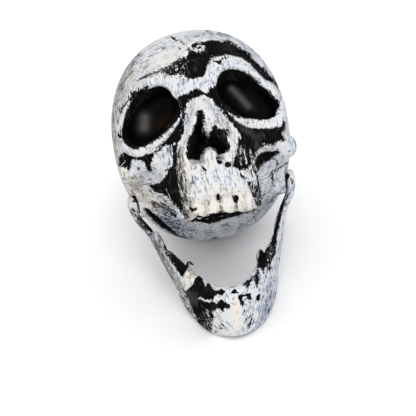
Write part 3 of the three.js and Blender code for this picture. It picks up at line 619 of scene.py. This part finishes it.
def rim_rows(outline, hand):
    """Rows of a socket from the cup's edge up its wall, round the lip of the opening and out over the rim's
    crest, where they follow the skull's surface and then tuck under it."""
    lip = opening(outline, hand)
    lip_beyond = (lip - 1) * socket_mean
    reach = crest_end - lip_beyond
    crest = lip_beyond + lip_step + np.linspace(0, 1, crest_rings)[:, None] * reach
    held = np.maximum(crest, rim_offset(np.clip(rim_cos, 0, 1)) - rim_hold)
    flat = from_socket((socket_half[0] + held) * rim_cos, 0 * held, (socket_half[1] + held) * rim_sin, hand)
    axis = from_socket(0.0, 1.0, 0.0, hand) - from_socket(0.0, 0.0, 0.0, hand)
    top = hit(flat.reshape(-1, 3), np.broadcast_to(axis, (held.size, 3)), rim_reach)
    level = socket_frame(hand * top[:, 0], top[:, 1], top[:, 2])[1].reshape(held.shape)
    level += np.interp(crest, [tuck_from, tuck_over], [proud, tucked])
    over = from_socket((socket_half[0] + crest) * rim_cos, level, (socket_half[1] + crest) * rim_sin, hand)
    sweep = cup_edge_share + (lip - cup_edge_share) * np.minimum(1, wall_drop / sweep_end)
    wall = from_socket(
        (socket_half[0] * sweep + wall_round) * rim_cos,
        cup_edge + (level[0] - cup_edge) * wall_drop,
        (socket_half[1] * sweep + wall_round) * rim_sin,
        hand,
    )
    return np.concatenate([wall, over])


points, faces, bare_wall = [grid], [grid_faces], [np.zeros(len(grid), bool)]
for hand, outline in ((-1, orbit_left), (1, orbit_right)):
    rows = rim_rows(outline, hand)
    rim_faces = quads(len(rows), rim_segments)[:, ::hand] + sum(len(p) for p in points)
    points.append(rows.reshape(-1, 3))
    faces.append(rim_faces)
    bare_wall.append(np.arange(rows.shape[0] * rim_segments) < bare_wall_rows * rim_segments)
face_points, face_faces, bare_wall = (np.concatenate(parts) for parts in (points, faces, bare_wall))


def painted(points, normals, marks):
    """Paint layers over a surface: what the photograph shows where the surface faces it, plain dry-brushing
    elsewhere, with an even change over the last degrees."""
    turned_away, change = 0.12, 0.1
    layers = brushed(*pixels(points), marks)
    facing = np.clip((normals @ to_view + turned_away) / change, 0, 1)
    return {name: plain + (layers[name] - plain) * facing for name, plain in unseen_coat.items()}


def piece(name, points, faces, layers, finish, body, node):
    """Mesh object from skull points and faces, with paint layers as attributes, in place of its CAD node."""
    mesh = bpy.data.meshes.new(name)
    mesh.from_pydata(laid(points), [], [list(face) for face in faces])
    for layer, values in layers.items():
        kind, field = ("FLOAT", "value") if values.ndim == 1 else ("FLOAT_VECTOR", "vector")
        mesh.attributes.new(layer, kind, "POINT").data.foreach_set(field, values.astype(np.float32).ravel())
    mesh.polygons.foreach_set("use_smooth", np.ones(len(mesh.polygons), bool))
    mesh.materials.append(finish)
    made = bpy.data.objects.new(name, mesh)
    bpy.context.collection.objects.link(made)
    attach(made, body)
    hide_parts(node)
    return made


class Wire:
    """A socket of a material being built. Arithmetic adds Math nodes, and make() adds any other node."""

    def __init__(self, tree, socket=None):
        self.tree, self.socket = tree, socket

    def make(self, kind, settings=None, sockets=None, out=0):
        node = self.tree.nodes.new(kind)
        for name, value in (settings or {}).items():
            setattr(node, name, value)
        for name, value in (sockets or {}).items():
            if isinstance(value, Wire):
                self.tree.links.new(value.socket, node.inputs[name])
            else:
                node.inputs[name].default_value = value
        return Wire(self.tree, node.outputs[out] if len(node.outputs) else None)

    def math(self, operation, first, second):
        return self.make("ShaderNodeMath", {"operation": operation}, {0: first, 1: second})

    def __add__(self, other):
        return self.math("ADD", self, other)

    __radd__ = __add__

    def __sub__(self, other):
        return self.math("SUBTRACT", self, other)

    def __rsub__(self, other):
        return self.math("SUBTRACT", other, self)

    def __mul__(self, other):
        return self.math("MULTIPLY", self, other)

    __rmul__ = __mul__

    def most(self, other):
        return self.math("MAXIMUM", self, other)

    def step(self, low, high):
        """0 below low, 1 above high, smooth between."""
        settings = {"interpolation_type": "SMOOTHSTEP"}
        return self.make("ShaderNodeMapRange", settings, {"Value": self, "From Min": low, "From Max": high})


def cleared(block):
    """Wire into the emptied node tree of a new material or world."""
    block.use_nodes = True
    block.node_tree.nodes.clear()
    return Wire(block.node_tree)


def layer_of(wire, name, out="Fac"):
    """A paint layer of the mesh."""
    return wire.make("ShaderNodeAttribute", {"attribute_name": name}, out=out)


def noise(where, scale, detail, rough=0.5):
    """Noise about a half, a little over a tenth either way."""
    sockets = {"Vector": where, "Scale": scale, "Detail": detail, "Roughness": rough}
    return where.make("ShaderNodeTexNoise", {}, sockets, out="Fac")


def blended(share, first, second):
    """Colour between two by a share from 0 to 1."""
    return share.make("ShaderNodeMix", {"data_type": "RGBA"}, {0: share, 6: first, 7: second}, out=2)


def surfaced(wire, sockets):
    """Ends a material in a shader with these sockets."""
    shader = wire.make("ShaderNodeBsdfPrincipled", {}, sockets)
    wire.make("ShaderNodeOutputMaterial", {}, {"Surface": shader})


brush_draw = 0.18


def brush_run(points):
    """Place in the brush strokes, in mm, drawn out along them: round the head on the braincase, down it on
    the face, across it at the back."""
    girth_radius, behind_turn, behind_change = 65, 2.0, 0.6
    left_top, right_top, top_left_edge, top_change = 80, 104, -14, 16
    face_fore, face_change, down_change = 10, 22, 14
    x, f, z = points.T
    from_middle = f - vault["centre"][1]
    turn, reach = np.arctan2(x, from_middle), np.hypot(x, from_middle)
    behind = np.clip((np.abs(turn) - behind_turn) / behind_change, 0, 1)[:, None]
    down_from = left_top + (right_top - left_top) * np.clip((x - top_left_edge) / top_change, 0, 1)
    down = np.clip((down_from - z) / down_change, 0, 1) * np.clip((f - face_fore) / face_change, 0, 1)
    down = down[:, None]
    round_head = np.stack([turn * girth_radius * brush_draw, reach, z], -1)
    run = round_head * (1 - behind) + points * [brush_draw, 1, 1] * behind
    return run * (1 - down) + points * [1, 1, brush_draw] * down


thick_cool, thick_cream = (0.752, 0.77, 0.797, 1), (0.795, 0.765, 0.715, 1)
thin_cool, thin_cream = (0.335, 0.385, 0.475, 1), (0.41, 0.385, 0.35, 1)
thinnest_paint = (0.06, 0.067, 0.085, 1)
# The second plastic colour is the grey of the painted sheen and of faint bristle streaks.
black_plastic, sheen_and_streak_grey = (0.006, 0.006, 0.0064, 1), (0.085, 0.08, 0.079, 1)
brushed_paint = bpy.data.materials.new("brushed_paint")
wire = cleared(brushed_paint)
place = wire.make("ShaderNodeTexCoord", out="Object")
run = layer_of(wire, "run", "Vector")
ink, wear, thin, warm, haze = (layer_of(wire, name) for name in first_coat)
bristle = noise(run, scale=0.68, detail=3.0, rough=0.62) - 0.5
hair = noise(run, scale=1.5, detail=2.0, rough=0.6) - 0.5
fleck = noise(place, scale=760.0, detail=2.0, rough=0.55) - 0.5
blotch = noise(place, scale=260.0, detail=3.0, rough=0.6) - 0.5
patch = noise(place, scale=150.0, detail=2.0, rough=0.55) - 0.5
cloud = noise(place, scale=80.0, detail=2.0) - 0.5
bare = (ink + bristle * 5.5 + hair * 6.5 + fleck * 3.0 + blotch * 2.0).step(-0.25, 0.25)
rubbed = (bristle * 0.55 + fleck * 0.2 + blotch * 0.3 + wear * 0.2).step(0.185, 0.215)
black = bare.most(rubbed)
film = thin + bristle * 3.6 + hair * 2.0 + fleck * 1.2 + blotch * 1.8 + patch * 1.6
cream = (warm + cloud * 0.9 + blotch * 0.6).step(0.2, 0.8)
thick_paint = blended(cream, thick_cool, thick_cream)
thin_paint = blended(cream, thin_cool, thin_cream)
paint = blended(film.step(0.3, 0.8), thick_paint, thin_paint)
paint = blended(film.step(0.95, 1.4), paint, thinnest_paint)
# Painted sheen: the last paint layer lightens the bare black towards grey where the glossy plastic catches
# the light, and faint grey bristle streaks lighten it everywhere.
painted_sheen = (haze + bristle * 0.8 + cloud * 0.9).step(0.1, 1.2) * haze.step(0.0, 0.3)
bristle_streaks = (bristle + hair * 0.7 + patch * 0.5).step(0.08, 0.22) * 0.45
plastic = blended(painted_sheen.most(bristle_streaks), black_plastic, sheen_and_streak_grey)
relief = (1 - black) * 0.5 + bristle * 0.9 + blotch * 0.7 + cloud * 1.2
surfaced(
    wire,
    {
        "Base Color": blended(black, paint, plastic),
        "Roughness": 0.66 - black * 0.32 + cloud * 0.2,
        "Specular IOR Level": 0.0,
        "Normal": wire.make("ShaderNodeBump", {}, {"Strength": 0.45, "Distance": 0.0004, "Height": relief}),
    },
)

furrow_depth, furrow_edge, furrow_width = 0.9, -1, 4
furrow_rim_from, furrow_rim_over = 5, 3
normals = outward(face_points)
face_layers = painted(face_points, normals, skull_strokes)
face_layers["run"] = brush_run(face_points)
face_layers["ink"][bare_wall] = ink_limit
furrow = np.clip((face_layers["ink"] - furrow_edge) / furrow_width, 0, 1)
furrow *= np.clip((beyond_oval(*face_points.T)[0] - furrow_rim_from) / furrow_rim_over, 0, 1)
furrow = furrow_depth * furrow * furrow * (3 - 2 * furrow)
face_points = face_points - normals * furrow[:, None]
face_shell = piece("face", face_points, face_faces, face_layers, brushed_paint, "cranium", "face_shell")


# Rear shell
# The back half of the same hollow moulding, with a lip that plugs into the front shell and is glued there.
# It has a shallow flat pressed into the back of the head, on which the skull lies.
rear_segments, rear_rings = 260, 70
around = -ring(rear_segments, 0.5)
rear_edge = seam_turn(around, -seam_half_gap)
share = np.linspace(0, 1, rear_rings)[:, None]
rear_rows = cast(np.minimum(rear_edge + share * (math.pi - rear_edge), math.pi - pole_turn), around)
rear_points = np.concatenate([seam_wall(rear_rows[0], -1)[::-1], rear_rows]).reshape(-1, 3)
rear_faces = quads(rear_rings + 2, rear_segments)[:, ::-1]
rear_layers = painted(rear_points, outward(rear_points), skull_strokes)
rear_layers["run"] = brush_run(rear_points)
rear_shell = piece("rear", rear_points, rear_faces, rear_layers, brushed_paint, "cranium", "rear_shell")


# Eye cups
# Two glossy black bowls, moulded apart and pushed into the eye openings from behind, left unpainted.
# They are deep, so they swallow most of the light; a lighter patch painted into each is a painted highlight
# that adds to the lamp's own, and a faint brown patch is painted in too.
cup_wall, cup_top = 2.0, -3.3
cup_segments, cup_rings, cup_pole = 120, 40, 0.004
# The brown colour is a faint patch painted into each cup.
cup_black, cup_brown = (0.0022, 0.0022, 0.0022, 1), (0.012, 0.005, 0.0025, 1)
cup_highlight, cup_dust = (0.108, 0.105, 0.103, 1), (0.2, 0.2, 0.2, 1)
brown_width = 6


def bowl(grow, turn, around, hand):
    """Skewed oval bowl: half sizes grown by a wall, angle up from its bottom, angle round its axis."""
    across = (socket_half[0] + grow) * np.sin(turn) * np.cos(around)
    up = (socket_half[1] + grow) * np.sin(turn) * np.sin(around)
    return from_socket(across, socket_mid - (socket_depth + grow) * np.cos(turn), up, hand)


def patch_along(points, line, width):
    """Soft patch over a line of pixels: exp(-(distance / width)^2)."""
    return np.exp(-((outline_distance(*pixels(points), path(line), False) / width) ** 2))


cup_gloss = bpy.data.materials.new("cup_gloss")
wire = cleared(cup_gloss)
dust = noise(wire.make("ShaderNodeTexCoord", out="Object"), scale=900.0, detail=2.0).step(0.74, 0.8)
depth = blended(layer_of(wire, "brown"), cup_black, cup_brown)
# Lighter grey painted along a line where the highlight falls: a painted highlight.
depth = blended(layer_of(wire, "haze"), depth, cup_highlight)
depth = blended(dust * 0.3, depth, cup_dust)
surfaced(wire, {"Base Color": depth, "Roughness": 0.24, "Specular IOR Level": 0.03})

# Each cup's painted highlight follows one line of pixels, and its brown patch another.
for hand, word, highlight_line, highlight_width, brown_line in (
    (-1, "left", "144.6,118 144,127", 5.0, "160,124 170,119"),
    (1, "right", "232,89 237,94 241.5,99 248,106", 3.2, "250,84 256,86"),
):
    rows = []
    for grow, way in ((cup_wall, 1), (0.0, -1)):
        last = math.acos((socket_mid - cup_top) / (socket_depth + grow))
        turn = np.linspace(cup_pole, last, cup_rings)[::way, None]
        rows.append(bowl(grow, turn, ring(cup_segments), hand))
    cup_points = np.concatenate(rows).reshape(-1, 3)
    cup_faces = quads(2 * cup_rings, cup_segments)[:, ::-hand]
    cup_layers = {"haze": patch_along(cup_points, highlight_line, highlight_width)}
    cup_layers["brown"] = patch_along(cup_points, brown_line, brown_width)
    cup = piece(f"cup_{word}", cup_points, cup_faces, cup_layers, cup_gloss, "cranium", f"eye_cup_{word}")


# Lower jaw
# One solid moulding: a curved plate from ear to ear through the chin, a ridge that carried the teeth with
# a horn at each end, and a blade in front of each ear. It hangs on two pins, with its chin on the table.
jaw_opening = math.radians(33.1266)
ear_inner, ear_outer, ear_radius, ear_inner_bevel, ear_outer_bevel = 53.888, 59.988, 7.0, 0.5, 0.8
jaw_plate = [
    [56.938, 0, 0, 6.4, 0, 3, 0],
    [55.738, 1, -9, 6.8, 5, 2.5, 0.02],
    [47.438, 6.5, -22, 8.4, 18, 2.6, 0.05],
    [41.3, 18.5, -35.6, 15.6, 48, 3.1, 0.14],
    [37.2, 28.6, -42.5, 19.2, 55, 3.7, 0.16],
    [32.6, 40, -47.2, 21.6, 64, 4.5, 0.1],
    [25.2, 52.9, -57.6, 19.4, 74, 5.2, 0.05],
    [15, 66.5, -64.9, 18.4, 78, 5.8, 0.02],
    [0, 75.5, -66.6, 17.2, 83, 6.2, 0],
]
jaw_ridge = [
    [24.8, 42, -41.2, 5.2, 84, 3.2, 0],
    [23.8, 54, -44.8, 5.2, 84, 3.5, 0],
    [18.6, 65.5, -48.8, 5.2, 84, 3.8, 0],
    [10.4, 74, -52, 5.2, 84, 4, 0],
    [0, 77.4, -53.2, 5.2, 84, 4, 0],
]
jaw_blade = [[40, 22, -36, 6.5, 0, 2.8, 0], [41.6, 27, -25, 5.2, 0, 2.5, 0], [44, 31, -15, 2.6, 0, 1.8, 0]]
jaw_horn = [
    [24.8, 42.5, -41, 3.2, 0, 2.8, 0],
    [24.8, 43, -38, 2.5, 0, 2.3, 0],
    [24.9, 43.3, -35.6, 1.3, 0, 1.2, 0],
]
pole_radius = 0.01
ear_profile = [
    (pole_radius, ear_inner),
    (ear_radius - ear_inner_bevel, ear_inner),
    (ear_radius, ear_inner + ear_inner_bevel),
    (ear_radius, ear_outer - ear_outer_bevel),
    (ear_radius - ear_outer_bevel, ear_outer),
    (pole_radius, ear_outer),
]


def swept(table, steps, corners):
    """Flat bar with rounded corners swept through the rows of a table (Catmull-Rom). A row holds the middle
    (across, fore, rise), half the breadth, its angle from fore to up, half the thickness and the breadth's
    lean sideways. The section is |cos|^0.72 by |sin|^0.72. A table that ends at the chin goes on over it."""
    section_power = 0.72
    rows = np.array(table, float)
    chin = rows[-1, 0] == 0
    flip = np.array([-1, 1, 1, 1, 1, 1, -1.0])
    after = rows[-2] * flip if chin else 2 * rows[-1] - rows[-2]
    rows = np.vstack([2 * rows[0] - rows[1], rows, after])
    t = np.linspace(0, len(rows) - 3, steps + 1)
    i = np.minimum(t.astype(int), len(rows) - 4)
    u = (t - i)[:, None]
    p0, p1, p2, p3 = rows[i], rows[i + 1], rows[i + 2], rows[i + 3]
    bend, twist = 2 * p0 - 5 * p1 + 4 * p2 - p3, 3 * p1 - p0 - 3 * p2 + p3
    row = 0.5 * (2 * p1 + (p2 - p0) * u + bend * u**2 + twist * u**3)
    if chin:
        row = np.vstack([row, row[-2::-1] * flip])
    middle, half_breadth, half_thickness = row[:, :3], row[:, 3, None], row[:, 5, None]
    along = np.gradient(middle, axis=0)
    along /= np.linalg.norm(along, axis=1, keepdims=True)
    angle = np.radians(row[:, 4])
    breadth = np.stack([row[:, 6], np.cos(angle), np.sin(angle)], -1)
    breadth -= along * (breadth * along).sum(1, keepdims=True)
    breadth /= np.linalg.norm(breadth, axis=1, keepdims=True)
    thickness = np.cross(along, breadth)
    turn = ring(corners)
    wide, deep = (np.sign(w) * np.abs(w) ** section_power for w in (np.cos(turn), np.sin(turn)))
    wide, deep = (half_breadth * wide)[..., None], (half_thickness * deep)[..., None]
    return middle[:, None] + breadth[:, None] * wide + thickness[:, None] * deep


def capped(rows):
    """Points and faces of a tube of rings closed by a fan at each end."""
    count = rows.shape[1]
    points = np.concatenate([rows.reshape(-1, 3), rows[0].mean(0)[None], rows[-1].mean(0)[None]])
    j = np.arange(count)
    last = (len(rows) - 1) * count
    start_fan = np.stack([(j + 1) % count, j, np.full(count, len(points) - 2)], -1)
    end_fan = np.stack([last + j, last + (j + 1) % count, np.full(count, len(points) - 1)], -1)
    return points, quads(len(rows), count).tolist() + start_fan.tolist() + end_fan.tolist()


def turned(profile, corners, hand):
    """Rings of a round form about the hinge axis, from rows of radius and place across."""
    turn = ring(corners)
    radius, place = np.array(profile, float).T[..., None]
    return np.stack([hand * place + 0 * turn, radius * np.cos(turn), radius * np.sin(turn)], -1)


def opened(points):
    """Jaw points turned on the hinge from shut to hanging open."""
    x, f, z = points.T
    c, s = math.cos(jaw_opening), math.sin(jaw_opening)
    return np.stack([x, f * c + z * s, z * c - f * s], -1)


tubes = [swept(jaw_plate, steps=130, corners=44), swept(jaw_ridge, steps=70, corners=28)]
for hand in (-1, 1):
    tubes += [swept(table, steps=26, corners=24) * [hand, 1, 1] for table in (jaw_blade, jaw_horn)]
    tubes.append(turned(ear_profile, 48, hand))
tube_points, tube_faces = [], []
for tube in tubes:
    new_points, new_faces = capped(tube)
    shift = sum(len(p) for p in tube_points)
    tube_points.append(new_points)
    tube_faces += [[shift + n for n in face] for face in new_faces]
rough = bpy.data.meshes.new("jaw_rough")
rough.from_pydata(np.concatenate(tube_points) / 1000, [], tube_faces)
rough_jaw = bpy.data.objects.new("jaw_rough", rough)
bpy.context.collection.objects.link(rough_jaw)
bpy.context.view_layer.objects.active = rough_jaw
rough_jaw.select_set(True)
bpy.ops.object.mode_set(mode="EDIT")
bpy.ops.mesh.select_all(action="SELECT")
bpy.ops.mesh.normals_make_consistent(inside=False)
bpy.ops.object.mode_set(mode="OBJECT")
knit = rough_jaw.modifiers.new("knit", "REMESH")
knit.mode = "VOXEL"
knit.voxel_size = 0.0007
ease = rough_jaw.modifiers.new("ease", "SMOOTH")
ease.factor = 0.5
ease.iterations = 5
knitted = rough_jaw.evaluated_get(bpy.context.evaluated_depsgraph_get()).to_mesh()
count = len(knitted.vertices)
shut_points, jaw_normals = np.empty(count * 3), np.empty(count * 3)
knitted.vertices.foreach_get("co", shut_points)
knitted.vertices.foreach_get("normal", jaw_normals)
corner = np.empty(len(knitted.loops), int)
knitted.loops.foreach_get("vertex_index", corner)
start = np.empty(len(knitted.polygons), int)
knitted.polygons.foreach_get("loop_start", start)
jaw_faces = [part.tolist() for part in np.split(corner, start[1:])]
rough_jaw.to_mesh_clear()
bpy.data.objects.remove(rough_jaw)
shut_points = shut_points.reshape(-1, 3) * 1000
jaw_points, jaw_normals = opened(shut_points), opened(jaw_normals.reshape(-1, 3))

jaw_tone = strokes("""
    warm 0.6 120,185 140,190 165,245 200,330 170,300 140,240
    thin 0.6 136,215 158,222 168,258 190,300 175,290 150,250
    thin 1.15 136,214 150,224 157,240 166,258 176,276 186,292 174,286 158,262 145,238
    thin 1.2 wear 0.5 127,205 134,210 150,234 156,245 150,243 131,214
    thin 1.1 158.5,253 161.5,255 164,264 161.5,264 | 162,265 166,266 169.5,274.5 166,274.5
    warm 0.05 thin 0.42 262,180 300,165 300,240 280,310 255,335 244,332 242,300 262,250
    wear 0.3 276,230 290,190 292,240 282,290 264,330 244,332 244,310 262,300
    thin 0.75 268,280 276,280 276,310 266,322 256,330 260,310
""")
left_arm_marks = strokes("""
    black 0.8 129,192 133,192.5 138,199 142,206 144,212 153.5,230 151,233.5 143,224.4 139.6,219.4 137.6,214.4
        136.6,208 134.2,201.4
    dry 0.6 136.5,213 140,215 146,224 148,230 143,226 138,219
    white 0 126,206 128,198 132,197.5 136.5,203 140,213 137,214.5 133,213 129,210.5
    black 1.5 131.4,207.8 133,208 136,211 135.6,213 133.5,212
    line 1 132.5,200.5 134.5,201.5 | 158.6,233.5 162,240 166.8,248.8
    black 0 163,244 167,245 182,261 189,261 189,267 182.2,278.4 166.8,255.3 164,249
    dry 0.9 163,245 168,247 173,253 170,257 166,254
""")
left_horn_marks = strokes("""
    wear 0.02 188,266 194,264 202,276 196,277 188,284 184,280
    warm 0.95 189,263 192,261 195,264 203,276 196,276 187,286 183,283 188,271
    thin 0.6 186,268 190,265 194,270 190,280 184,280
    black 1.5 189,261.5 191.5,259.8 194.8,262.5 195.4,265.5 192.5,265.5 190,264 | 196.5,267.3 199,268.3
        201.8,272.3 200,272.8
    wear 0.85 181,278 188,278 189.5,285 183,284
""")
# The grey painted into the chin's black on its left is a painted sheen.
chin_marks = strokes("""
    black 1.5 192.5,284.5 195.5,277.5 199,275.3 202,276 203.2,281 205.5,286 208,283 210.2,284 212.5,288.5
        215,290.5 219,290 222,288.2 225.2,291.5 222.8,295.8 218,294.5 214.5,296.5 213.8,299.5 209,300.3
        205,300 200.5,298 196,298.5 179.5,303 180,293 186,290.5 190,287.5
    black 0 184.8,298 192,297.5 200,298.8 205,300.8 210,301.5 214,301 216.5,304 217.6,309 216,313 208,311.5
        207.2,314 212,316 211,320 207.5,323 206.5,329 204,333 197,326.5 184.5,310 181,303
    haze 0.66 182,292 190,289 198,292 200,300 197,308 190,305 184,301
    streak 1.3 200.3,298.1 205.5,300.7 210,300.9 214.6,300.4
    dry 2.2 194,306 207,308 208,333 201,329
    dry 0.7 206,309 215,309 216,320 212,334 206,333
    dry -0.5 214,311 221,313 226,326 221,335 213,334
    dry 0.1 178,287 184,286 193,308 199,319 197,326 188,316 180,303
    dry 0.9 199,311 206,310 208,322 206,331 200,326
    black 1.5 216.6,304.1 219,300.5 221.5,299 227,303.8 229.6,304.2 231,307.5 228,308.7 225,308.2 223.5,310.5
        224.9,312.8 221.8,311.5 219.9,308.5 217.5,308 | 230.2,293.3 233,290 235.8,288.6 238.6,293.3 234,293.9
        | 238.1,296 241,294.4 245,294.2 247,293 251,293.2 252,299.6 249.3,300.2 247.2,298.4 246.6,296.4
        242.2,297.2 241.6,300.5 244,301 244.8,305 243,309.5 240.6,308 240.3,302 238.6,299.6 | 256.4,296
        259,294 261,295 260.4,299 258.4,302.2 256.4,300
    wear 0.8 218,306 226,308 226,316 219,314 | 242,314 248,315 248,321 243,320
    line 1.2 215,284.6 217.5,285.6
    line 1 230.5,286.5 236,286.3
""")
right_arm_marks = strokes("""
    black 0.2 241.6,285.4 245.5,281.6 251.4,277.7 256.6,272.5 256.5,268 257.4,263.4 257,259.5 260,248.6
        264.4,246 265.7,248.6 269.4,246 280,206 285.5,174 289,172 289.6,178 287.4,186 284,206 278,232
        276.4,244 276.1,253 270.9,261.5 269.6,273.2 268.3,268.6 266.4,264.7 263.1,273.8 261.8,269.3
        259.2,268.6 259.2,280.3 257.9,289.4 255.3,286.8 254,277.7 246.2,291.4 245.5,285.9
    wear 0.8 262,246 275,244 274,266 262,270
    dry 1 266,249 270,245 275,244 275,255 271,264 269,272 266,266 265,258
    line 1.8 291.5,179 292.5,184
    line 1.6 287.2,192 286.5,199 284.6,206
    wear 0.7 268,264 275,264 275,280 269,278
    line 1.4 278.4,258 280.2,260.5
""")
chin_tone = strokes("""
    wear 0.72 262.5,299 267,299 267,308 262.5,308 | 249,316 256,316 255,324 249,323
    dry -0.95 240,304 250,307 260,316 252,330 240,328
    wear 0.5 240,324 262,316 272,306 270,320 256,332 240,334
    warm 1 230,296 239,296 240,328 231,330
    wear 0.02 thin 0.1 230,297 238.5,297 240,327 232,328
""")
jaw_strokes = jaw_tone + left_arm_marks + left_horn_marks + chin_marks + right_arm_marks + chin_tone

jaw_slant = 0.6
across, fore, rise = shut_points.T
jaw_layers = painted(jaw_points, jaw_normals, jaw_strokes)
jaw_layers["run"] = np.stack([np.abs(across) - jaw_slant * rise, fore, brush_draw * rise], -1)
jaw = piece("jaw_bone", jaw_points, jaw_faces, jaw_layers, brushed_paint, "jaw", "jaw")


# Hinge pins, washers and push nuts
# A black pin with a domed head goes through each ear of the jaw, a friction washer and the shell's boss.
# A pressed steel nut holds it inside, and the heads were caught by the white brush with the rest.
pin_profile = [(pole_radius, 38.49), (2.0, 38.49), (2.2, 38.7), (2.2, 58.39), (3.6, 58.39), (3.9, 58.7)]
pin_profile += [(3.9, 59.7), (3.6, 60.2), (2.9, 60.45), (1.8, 60.58), (pole_radius, 60.58)]
pin_dome, pin_draw = 4.0, 0.3
for hand, word in ((-1, "left"), (1, "right")):
    pin_points, pin_faces = capped(turned(pin_profile, 40, hand))
    pin_faces = [face[::-hand] for face in pin_faces]
    heading = pin_points * [0, 1, 1] + [hand * pin_dome, 0, 0]
    heading /= np.linalg.norm(heading, axis=1, keepdims=True)
    pin_layers = painted(pin_points, heading, jaw_strokes)
    pin_layers["run"] = pin_points * [1, 1, pin_draw]
    node = f"hinge_pin_{word}"
    pin = piece(f"pin_{word}", pin_points, pin_faces, pin_layers, brushed_paint, "cranium", node)

washer_nylon = bpy.data.materials.new("washer_nylon")
wire = cleared(washer_nylon)
rubbing = noise(wire.make("ShaderNodeTexCoord", out="Object"), scale=1200.0, detail=4.0)
tone = blended(rubbing.step(0.4, 0.7), (0.010, 0.010, 0.011, 1), (0.03, 0.03, 0.032, 1))
surfaced(wire, {"Base Color": tone, "Roughness": 0.4 + rubbing * 0.25})

nut_steel = bpy.data.materials.new("nut_steel")
wire = cleared(nut_steel)
rolling = noise(wire.make("ShaderNodeTexCoord", out="Object"), scale=1500.0, detail=4.0)
tone = blended(rolling.step(0.3, 0.8), (0.36, 0.37, 0.38, 1), (0.52, 0.52, 0.53, 1))
surfaced(wire, {"Base Color": tone, "Roughness": 0.3 + rolling * 0.2, "Metallic": 1.0})

for node, finish in (("friction_washer", washer_nylon), ("push_nut", nut_steel)):
    for word in ("left", "right"):
        slots = frame["nodes"][f"{node}_{word}"].data.materials
        slots.clear()
        slots.append(finish)


# Table and studio
# A plain white table that fades into a white backdrop, under soft lamps above and in front of the skull.
# The table keeps the skull's shadow, and its colour is a little above white for the rays that show it.
table_half = 6
table_grey, table_shown = (0.82, 0.82, 0.82, 1), (1.06, 1.06, 1.06, 1)
room_strength, backdrop_strength = 0.65, 1.0


def showing(wire):
    """1 for rays that show the background, from the camera, off gloss or through glass, and 0 for light."""
    kinds = ("Is Camera Ray", "Is Glossy Ray", "Is Transmission Ray")
    camera_ray, glossy, through = (wire.make("ShaderNodeLightPath", out=kind) for kind in kinds)
    return camera_ray.most(glossy.most(through))


ground = bpy.data.meshes.new("table")
corners = [(-table_half, -table_half, 0), (table_half, -table_half, 0), (table_half, table_half, 0)]
ground.from_pydata([*corners, (-table_half, table_half, 0)], [], [(0, 1, 2, 3)])
table = bpy.data.objects.new("table", ground)
bpy.context.collection.objects.link(table)
table_white = bpy.data.materials.new("table_white")
wire = cleared(table_white)
matt = wire.make("ShaderNodeBsdfDiffuse", {}, {"Color": table_grey})
shown = wire.make("ShaderNodeBsdfDiffuse", {}, {"Color": table_shown})
both = wire.make("ShaderNodeMixShader", {}, {0: showing(wire), 1: matt, 2: shown})
wire.make("ShaderNodeOutputMaterial", {}, {"Surface": both})
ground.materials.append(table_white)

for name, strength, spread, height, heading in (
    ("key_lamp", 0.6, 24, 60, 10),
    ("top_lamp", 0.6, 90, 76, 0),
    ("front_fill", 0.7, 60, 6, 0),
):
    lamp = bpy.data.lights.new(name, "SUN")
    lamp.energy = strength
    lamp.angle = math.radians(spread)
    holder = bpy.data.objects.new(name, lamp)
    holder.rotation_euler = (math.radians(90 - height), 0, math.radians(heading))
    bpy.context.collection.objects.link(holder)

studio = bpy.data.worlds.new("studio")
wire = cleared(studio)
room = wire.make("ShaderNodeBackground", {}, {"Color": (1, 1, 1, 1), "Strength": room_strength})
backdrop = wire.make("ShaderNodeBackground", {}, {"Color": (1, 1, 1, 1), "Strength": backdrop_strength})
both = wire.make("ShaderNodeMixShader", {}, {0: showing(wire), 1: room, 2: backdrop})
wire.make("ShaderNodeOutputWorld", {}, {"Surface": both})
bpy.context.scene.world = studio
bpy.context.scene.view_settings.view_transform = "Standard"
